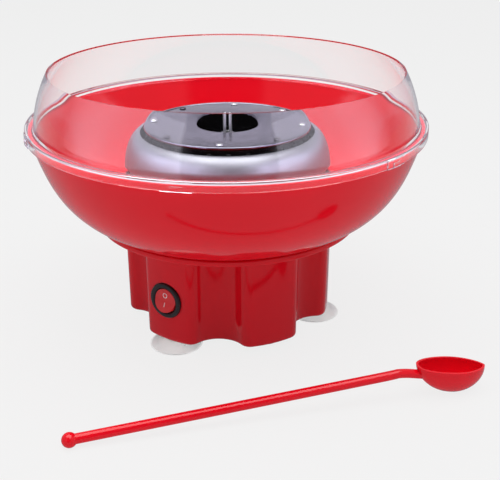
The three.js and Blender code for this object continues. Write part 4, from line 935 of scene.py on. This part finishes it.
def buildGuard():
    rise, wall, opening, radius = guard["domeRise"], guard["wall"], guard["opening"], guard["radius"]
    dome, run = guard["top"] - rise, radius - opening
    turns = quarterTurns(28)
    outer = [(opening + run * cos(t), dome + rise * sin(t)) for t in turns]
    turns.reverse()
    inner = [(opening + (run - wall) * cos(t), dome + (rise - wall) * sin(t)) for t in turns]
    low, high = guard["seat"], guard["seat"] + wall
    foot = rounded([(guard["foot"], high), (guard["foot"], low), (radius, low, 1.6), outer[0]], 4)[1:-1]
    back = rounded([inner[-1], (radius - wall, high, 0.8), (guard["foot"], high)], 4)[1:]
    ring = turnedPiece("guardDome", foot + outer + inner + back)
    return finishPiece(ring, "base", "polished_metal", "guard_ring", sharp=50)


guardPiece = buildGuard()


# Spinning head, heights from its top face

head = {
    "top": 142.4,
    "radius": 57.2,
    "thickness": 1.2,
    "edgeDepth": 2.4, "edgeWidth": 2.2,
    "step": 0.5,
    "wellRadius": 21.0, "wellWall": 1.1, "wellDepth": 12.4,
    "bandRadius": 55.7, "bandInner": 54.8, "bandTop": -2.0, "bandBottom": -16.5,
    "slots": 28,
    "slotWidth": 3.0, "slotHeight": 9.0, "slotLength": 5,
    "coneRadius": 18.0, "coneRise": 5.4,
    "panRadius": 56.0, "panThickness": 1.2,
    "gap": 0.3,
    "hubBore": 3.3, "hubRadius": 4.3, "hubTop": -6.3, "hubFlange": 12.0, "hubFlangeThickness": 1.2,
    "hubBottom": -19.5,
    "pinDepth": 7.8, "pinRadius": 0.7, "pinHole": 8, "pinTurn": 96,
    "rivets": 8,
    "rivetCircle": 51.0, "rivetTurn": 0, "rivetHead": 2.4, "rivetShank": 1.4, "rivetHeight": 1.1,
    "rivetBottom": -18.3,
}


def buildHeadDisc():
    flat, rim, edge, thick = -head["step"], head["radius"], -head["edgeDepth"], head["thickness"]
    well, wellDepth = head["wellRadius"], -head["wellDepth"]
    wellOuter = well + head["wellWall"]
    inside, under = rim - head["edgeWidth"], flat - thick
    disc = turnedPiece("headDisc", rounded([
        (well, flat, 1.0), (inside + flat, flat, 0.4), (inside, 0, 0.5), (rim, 0, 1.1),
        (rim, edge, 0.3), (rim - thick, edge, 0.3), (rim - thick, under), (wellOuter, under, 1.5),
        (wellOuter, wellDepth, 0.3), (well, wellDepth, 0.3),
    ]), 160, head["top"])
    finishPiece(disc, "head", "head_metal", "head_top")


def buildHeadBand():
    inner, outer, low, high = (head["band" + side] for side in ("Inner", "Radius", "Bottom", "Top"))
    corners = [(inner, low), (outer, low), (outer, high), (inner, high)]
    band = turnedPiece("headBand", corners, 168, head["top"])
    size = (head["slotLength"], head["slotWidth"], head["slotHeight"])
    slot = blockPiece("bandSlots", size, shift(0, 0, head["top"] + (high + low) / 2))
    softenEdges(slot, head["slotWidth"] * 0.3, 3, 60)
    inARing(slot, head["slots"], (inner + outer) / 2, 180 / head["slots"], heatedSteel)
    carve(band, [slot])
    finishPiece(band, "head", "head_metal", "head_band", finish=heatedSteel)


def buildHeadPan():
    top = head["bandBottom"] - head["gap"]
    under, coneTop = top - head["panThickness"], top + head["coneRise"]
    sleeve, wide = head["hubRadius"] + head["gap"], head["panRadius"]
    pan = turnedPiece("headPan", rounded([
        (sleeve, under), (wide, under, 0.4), (wide, top, 0.4), (head["coneRadius"], top, 3.0),
        (sleeve + 0.8, coneTop, 0.4), (sleeve, coneTop),
    ]), 160, head["top"])
    finishPiece(pan, "head", "head_metal", "head_bottom", finish=heatedSteel)


def buildHub():
    bore, neck, bottom, top = head["hubBore"], head["hubRadius"], head["hubBottom"], head["hubTop"]
    flange, shoulder = head["hubFlange"], bottom + head["hubFlangeThickness"]
    hub = turnedPiece("headHub", rounded([
        (bore, bottom), (flange, bottom, 0.3), (flange, shoulder, 0.3), (neck, shoulder, 0.6),
        (neck, top, 0.35), (bore, top, 0.35),
    ]), 72, head["top"])
    pin = softenEdges(rod("drivePin", head["pinRadius"], -neck, neck, 24), 0.15)
    hole = rod("pinHole", head["pinRadius"] + head["gap"], -head["pinHole"], head["pinHole"], 24)
    lie = shift(0, 0, head["top"] - head["pinDepth"]) @ spin(head["pinTurn"], "Z") @ spin(90, "Y")
    carve(hub, [placed(hole, lie)])
    finishPiece(hub, "head", "bright_steel", "head_hub")
    finishPiece(placed(pin, lie), "head", "bright_steel", "head_drive_pin")


def buildRivets():
    # the domed head stands on the disc, and the tail is clinched under the pan
    top, bottom = head["gap"] - head["step"], head["rivetBottom"]
    crown, wide, shank = head["rivetHeight"], head["rivetHead"], head["rivetShank"]
    domed = [(wide * cos(t), top + crown * sin(t)) for t in quarterTurns(6)]
    rivet = turnedPiece("headRivets", [
        (0, bottom - crown), (wide - 0.3, bottom - crown), (wide, bottom - crown + 0.3),
        (wide, bottom), (shank, bottom), (shank, top),
        *domed[:-1],
        (0, top + crown),
    ], 32, head["top"])
    inARing(rivet, head["rivets"], head["rivetCircle"], head["rivetTurn"], rivetSteelPaintedShade)
    nodes = [f"head_rivet_{k + 1}" for k in range(head["rivets"])]
    finishPiece(rivet, "head", "bright_steel", *nodes, finish=rivetSteelPaintedShade)


buildHeadDisc()
buildHeadBand()
buildHeadPan()
buildHub()
buildRivets()


# Drive shaft

shaft = {
    "bottom": 22.7,
    "top": 149.3,
    "radius": 3.0,
    "collar": 4.8, "collarTop": 122.6, "collarHeight": 2.2,
    "grooveBelowTip": 2.6, "grooveDepth": 0.45, "grooveWidth": 0.9,
    "slotWidth": 2.0, "slotBottom": 133.6, "slotPastTip": 2, "slotLength": 14, "slotTurn": 96,
}


def buildShaft():
    r, top, collar, collarTop = shaft["radius"], shaft["top"], shaft["collar"], shaft["collarTop"]
    low, sunk = collarTop - shaft["collarHeight"], r - shaft["grooveDepth"]
    groove, half = top - shaft["grooveBelowTip"], shaft["grooveWidth"] / 2
    piece = turnedPiece("driveShaft", rounded([
        (0, shaft["bottom"]), (r, shaft["bottom"], 0.4), (r, low), (collar, low, 0.3),
        (collar, collarTop, 0.3), (r, collarTop), (r, groove - half, 0.1), (sunk, groove - half),
        (sunk, groove + half), (r, groove + half, 0.1), (r, top, 0.7), (0, top),
    ]), 64)
    slotTop, slotBottom = top + shaft["slotPastTip"], shaft["slotBottom"]
    turn = shift(0, 0, (slotTop + slotBottom) / 2) @ spin(shaft["slotTurn"], "Z")
    size = (shaft["slotLength"], shaft["slotWidth"], slotTop - slotBottom)
    carve(piece, [blockPiece("shaftSlot", size, turn)])
    finishPiece(piece, "rotor", "bright_steel", "drive_shaft", finish=shaftSteel)


buildShaft()
print("guard, head and shaft ready")


# Suction feet

foot = {
    "circle": 62.5,
    "radius": 18.0,
    "rimWidth": 1.6, "rimHeight": 0.9,
    "shoulder": 7.0, "shoulderTop": 5.8,
    "neck": 3.5,
    "cavity": 3.6,
    "swell": 0.7,
    "button": 5.0, "buttonSeat": 9.4, "buttonHeight": 2.4,
}


def buildFoot(name, angle, node):
    wide, rimTop, shoulder, neck = foot["radius"], foot["rimHeight"], foot["shoulder"], foot["neck"]
    cavity, shoulderTop = foot["cavity"], foot["shoulderTop"]
    button, seat, top = foot["button"], foot["buttonSeat"], foot["buttonSeat"] + foot["buttonHeight"]
    cup = turnedPiece(name, rounded([
        (0, cavity), (shoulder, cavity, 6.0), (wide - foot["rimWidth"], 0, 0.3), (wide, 0, 0.3),
        (wide, rimTop, 0.4),
        ((wide + shoulder) / 2, (shoulderTop + rimTop) / 2 + foot["swell"], 12),
        (shoulder, shoulderTop, 1.0), (neck, shoulderTop, 0.4), (neck, seat, 0.4),
        (button, seat, 0.4), (button, top, 1.0), (0, top),
    ]), 96)
    turn = radians(angle)
    placed(cup, shift(foot["circle"] * cos(turn), foot["circle"] * sin(turn), 0))
    finishPiece(cup, "base", "foot_plastic", node)


buildFoot("footRight", 0, "suction_foot_right")
buildFoot("footRear", 120, "suction_foot_rear")
buildFoot("footSwitchSide", 240, "suction_foot_switch_side")


# Sugar spoon, drawn along x from the ball to the scoop's tip

spoon = {
    "ballPlace": (-74.2, -178.6),
    "turn": 18.8,
    "ball": 4.6,
    "handleAtBall": 3.1, "handleAtNeck": 2.8,
    "neckDistance": 206.0, "neckHeight": 17.9,
    "scoopDistance": 235.8,
    "rimHeight": 18.2,
    "dip": 7.2,
    "length": 46.7,
    "width": 22.2,
    "wall": 1.5,
    "tipPower": 1.35,
    "handlePower": 0.86,
    "bottomSet": 4.0, "bottomShare": 0.12,
    "neckBend": 6.0,
    "overlap": (5.0, -3.3),
}


def spoonRim(scale, drop, wall, steps=72):
    points = []
    for k in range(steps):
        turn = 2 * pi * k / steps
        along = cos(turn) * (spoon["length"] / 2 - wall) * scale
        along += spoon["bottomSet"] * max(drop / spoon["rimHeight"], 0)
        power = spoon["tipPower"] if cos(turn) > 0 else spoon["handlePower"]
        side = copysign(abs(sin(turn)) ** power, sin(turn))
        points.append(Vector((along, side * (spoon["width"] / 2 - wall) * scale, -drop)) * mm)
    return points


def throughPoints(points, steps):
    # a smooth line through the points
    padded = [points[0] * 2 - points[1]] + points + [points[-1] * 2 - points[-2]]
    line = []
    for i in range(1, len(padded) - 2):
        a, b, c, d = padded[i - 1:i + 3]
        for s in range(steps):
            t = s / steps
            line.append(0.5 * (2 * b + (c - a) * t + (2 * a - 5 * b + 4 * c - d) * t * t
                               + (3 * b - a - 3 * c + d) * t ** 3))
    line.append(points[-1].copy())
    return line


def spoonHandle():
    nearRim = spoon["scoopDistance"] - spoon["length"] / 2 * cos(radians(spoon["dip"]))
    ball, neck, bend, neckHeight = (
        spoon[key] for key in ("ball", "neckDistance", "neckBend", "neckHeight"))
    line = throughPoints([Vector((along, 0, height)) for along, height in (
        (0, ball), (neck / 2, (ball + neckHeight) / 2), (neck - bend * 3, neckHeight - 1.0),
        (neck - bend * 0.6, neckHeight - 0.1),
        (nearRim + spoon["overlap"][0], spoon["rimHeight"] + spoon["overlap"][1]),
    )], 12)
    across = Vector((0, 1, 0))
    turns = [2 * pi * k / 28 for k in range(28)]
    rings = []
    for i, centre in enumerate(line):
        along = (line[min(i + 1, len(line) - 1)] - line[max(i - 1, 0)]).normalized()
        up = along.cross(across) * -1
        share = i / (len(line) - 1)
        radius = spoon["handleAtBall"] + (spoon["handleAtNeck"] - spoon["handleAtBall"]) * share
        rings.append([
            (centre + across * (radius * cos(t)) + up * (radius * sin(t))) * mm for t in turns])
    return loftPiece("spoonHandle", rings)


def buildSpoon():
    depth, wall = spoon["rimHeight"], spoon["wall"]
    outer = [spoonRim(spoon["bottomShare"], depth, 0)]
    inner = [spoonRim(spoon["bottomShare"], depth - wall, wall)]
    for turn in reversed(quarterTurns(14)[:-1]):
        outer.append(spoonRim(cos(turn), depth * sin(turn), 0))
        inner.append(spoonRim(cos(turn), (depth - wall) * sin(turn), wall))
    shell = loftPiece("sugarSpoon", outer + list(reversed(inner)))
    hollow = loftPiece("spoonHollow", inner + [spoonRim(1, -6, wall)])
    tip = shift(spoon["scoopDistance"], 0, depth) @ spin(spoon["dip"], "Y")
    placed(shell, tip)
    lift = Matrix.Translation((0, 0, -min(v.co.z for v in shell.data.vertices)))
    placed(shell, lift)
    placed(placed(hollow, tip), lift)
    softenEdges(shell, 0.5, 3, 55)
    ball = placed(ballPiece("spoonBall", spoon["ball"], 40, 24), shift(0, 0, spoon["ball"]))
    handle = spoonHandle()
    carve(handle, [hollow])
    carve(shell, [handle, ball], "UNION")
    placed(shell, shift(*spoon["ballPlace"], 0) @ spin(spoon["turn"], "Z"))
    # the spoon takes the red painted lighter than the base's
    finishPiece(shell, "spoon", "red_plastic", "sugar_spoon", finish=paintedLighterRed)


buildSpoon()
print("feet and spoon ready")


# Nodes carried over from the CAD get their finish by slot

for part in frame["record"]["subparts"]:
    node = cadNodes[part["node"]]
    finish = slotFinish.get(part["material_slot"], slotFinish["dull_steel"])
    if part["node"] == "heating_element":
        finish = heaterSheath
    if node.material_slots:
        for materialSlot in node.material_slots:
            materialSlot.material = finish
    else:
        node.data.materials.append(finish)


# Floor, backdrop and light

studio = {
    "floorHalf": 4, "floorTone": (0.82, 0.82, 0.82), "floorRoughness": 0.9,
    "paper": (0.887, 0.887, 0.887), "paperShare": 0.93,
    "dimPaper": (0.36, 0.35, 0.38), "dimShare": 0.9,
    "worldLight": 0.385, "worldInGloss": 0.42,
    "roomTone": (0.95, 0.91, 1.0),
    "darkSide": -83, "darkShare": 0.06, "darkEdge": (0.875, 0.93),
}


def buildFloor():
    # the camera sees paper white, gloss sees a dimmer paper, and light falls on a plain diffuse floor
    shape = bmesh.new()
    bmesh.ops.create_grid(shape, x_segments=1, y_segments=1, size=studio["floorHalf"])
    floor = newPiece("floor", shape)
    if floor.data.polygons[0].normal.z < 0:
        floor.data.flip_normals()
    material = newFinish(
        "paperFloor", studio["floorTone"], studio["floorRoughness"], sockets={"Specular IOR Level": 0})
    tree = material.node_tree
    glow = addNode(tree, "ShaderNodeEmission", {"Color": (*studio["paper"], 1)})
    dim = addNode(tree, "ShaderNodeEmission", {"Color": (*studio["dimPaper"], 1)})
    path = addNode(tree, "ShaderNodeLightPath").outputs
    seen = mathNode(tree, "ADD", path["Is Camera Ray"], path["Is Transmission Ray"], use_clamp=True)
    share = mathNode(tree, "MULTIPLY", seen, studio["paperShare"])
    inGloss = mathNode(tree, "MULTIPLY", path["Is Glossy Ray"], studio["dimShare"])
    surface = blend(tree, share, blend(tree, inGloss, shaderOf(tree), dim), glow)
    feed(tree, tree.nodes["Material Output"], {"Surface": surface})
    floor.data.materials.append(material)


def buildWorld():
    # even light all round; gloss sees pale walls with the dark end of the room behind the camera
    world = bpy.data.worlds.new("studioWorld")
    bpy.context.scene.world = world
    world.use_nodes = True
    tree = world.node_tree
    light = tree.nodes["Background"]
    feed(tree, light, {"Color": (1, 1, 1, 1), "Strength": studio["worldLight"]})
    paper = addNode(tree, "ShaderNodeBackground", {"Color": (*studio["paper"], 1)})
    path = addNode(tree, "ShaderNodeLightPath").outputs
    place = addNode(tree, "ShaderNodeTexCoord").outputs["Generated"]
    unit = vectorNode(tree, "NORMALIZE", vectorNode(tree, "MULTIPLY", place, (1, 1, 0)))
    turn = radians(studio["darkSide"])
    facing = vectorNode(tree, "DOT_PRODUCT", unit, (cos(turn), sin(turn), 0)).outputs["Value"]
    fade = mapRange(tree, facing, *studio["darkEdge"], 1, studio["darkShare"])
    inGloss = studio["worldInGloss"]
    strength = mathNode(
        tree, "MULTIPLY_ADD", path["Is Transmission Ray"], studio["paper"][0] - inGloss, inGloss)
    faded = mathNode(tree, "MULTIPLY", strength, fade)
    room = addNode(tree, "ShaderNodeBackground", {"Color": (*studio["roomTone"], 1), "Strength": faded})
    indirect = mathNode(tree, "ADD", path["Is Glossy Ray"], path["Is Transmission Ray"], use_clamp=True)
    shown = blend(tree, path["Is Camera Ray"], blend(tree, indirect, light, room), paper)
    feed(tree, tree.nodes["World Output"], {"Surface": shown})


sideBox = {"tone": (0.88, 0.85, 1.0), "only": [clearWall, guardPiece]}
softboxes = [
    {"name": "overhead", "place": (-0.03, -0.15, 1.3), "aim": (0, 0, 0.1), "size": (1.6, 1.2),
     "watts": 18.5},
    {"name": "left", "place": (-0.94, -0.435, 0.44), "aim": (-0.15, 0.2, 0.44), "size": (1.84, 0.84),
     "watts": 11.2, "fade": (0.5, 0.04), **sideBox},
    {"name": "right", "place": (1.025, -0.248, 0.44), "aim": (0.11, 0.222, 0.44), "size": (1.77, 0.84),
     "watts": 10.6, "fade": (0.04, 0.5), **sideBox},
]


def fadeSides(data, low, high):
    # the box is brightest away from its two sides, each of which fades over a share of its width
    data.use_nodes = True
    tree = data.node_tree
    across = partsOf(tree, addNode(tree, "ShaderNodeNewGeometry").outputs["Parametric"])["X"]
    sides = [
        mapRange(tree, across, start, end, interpolation_type="SMOOTHSTEP")
        for start, end in ((0, low), (1, 1 - high))
    ]
    feed(tree, tree.nodes["Emission"], {"Strength": mathNode(tree, "MULTIPLY", *sides)})


def buildSoftbox(box):
    data = bpy.data.lights.new(box["name"], "AREA")
    data.shape = "RECTANGLE"
    data.size, data.size_y = box["size"]
    data.energy = box["watts"]
    data.color = box.get("tone", (1, 1, 1))
    lamp = newObject(box["name"], data)
    lamp.location = box["place"]
    if "fade" in box:
        fadeSides(data, *box["fade"])
    if "only" in box:
        lit = bpy.data.collections.new(box["name"] + "Lights")
        for piece in box["only"]:
            lit.objects.link(piece)
        lamp.light_linking.receiver_collection = lit
        lamp.visible_diffuse = False
    lamp.rotation_euler = (Vector(box["aim"]) - Vector(box["place"])).to_track_quat("-Z", "Y").to_euler()


buildFloor()
buildWorld()
for box in softboxes:
    buildSoftbox(box)

settings = bpy.context.scene.view_settings
settings.view_transform = "Standard"
print("stage and light ready")
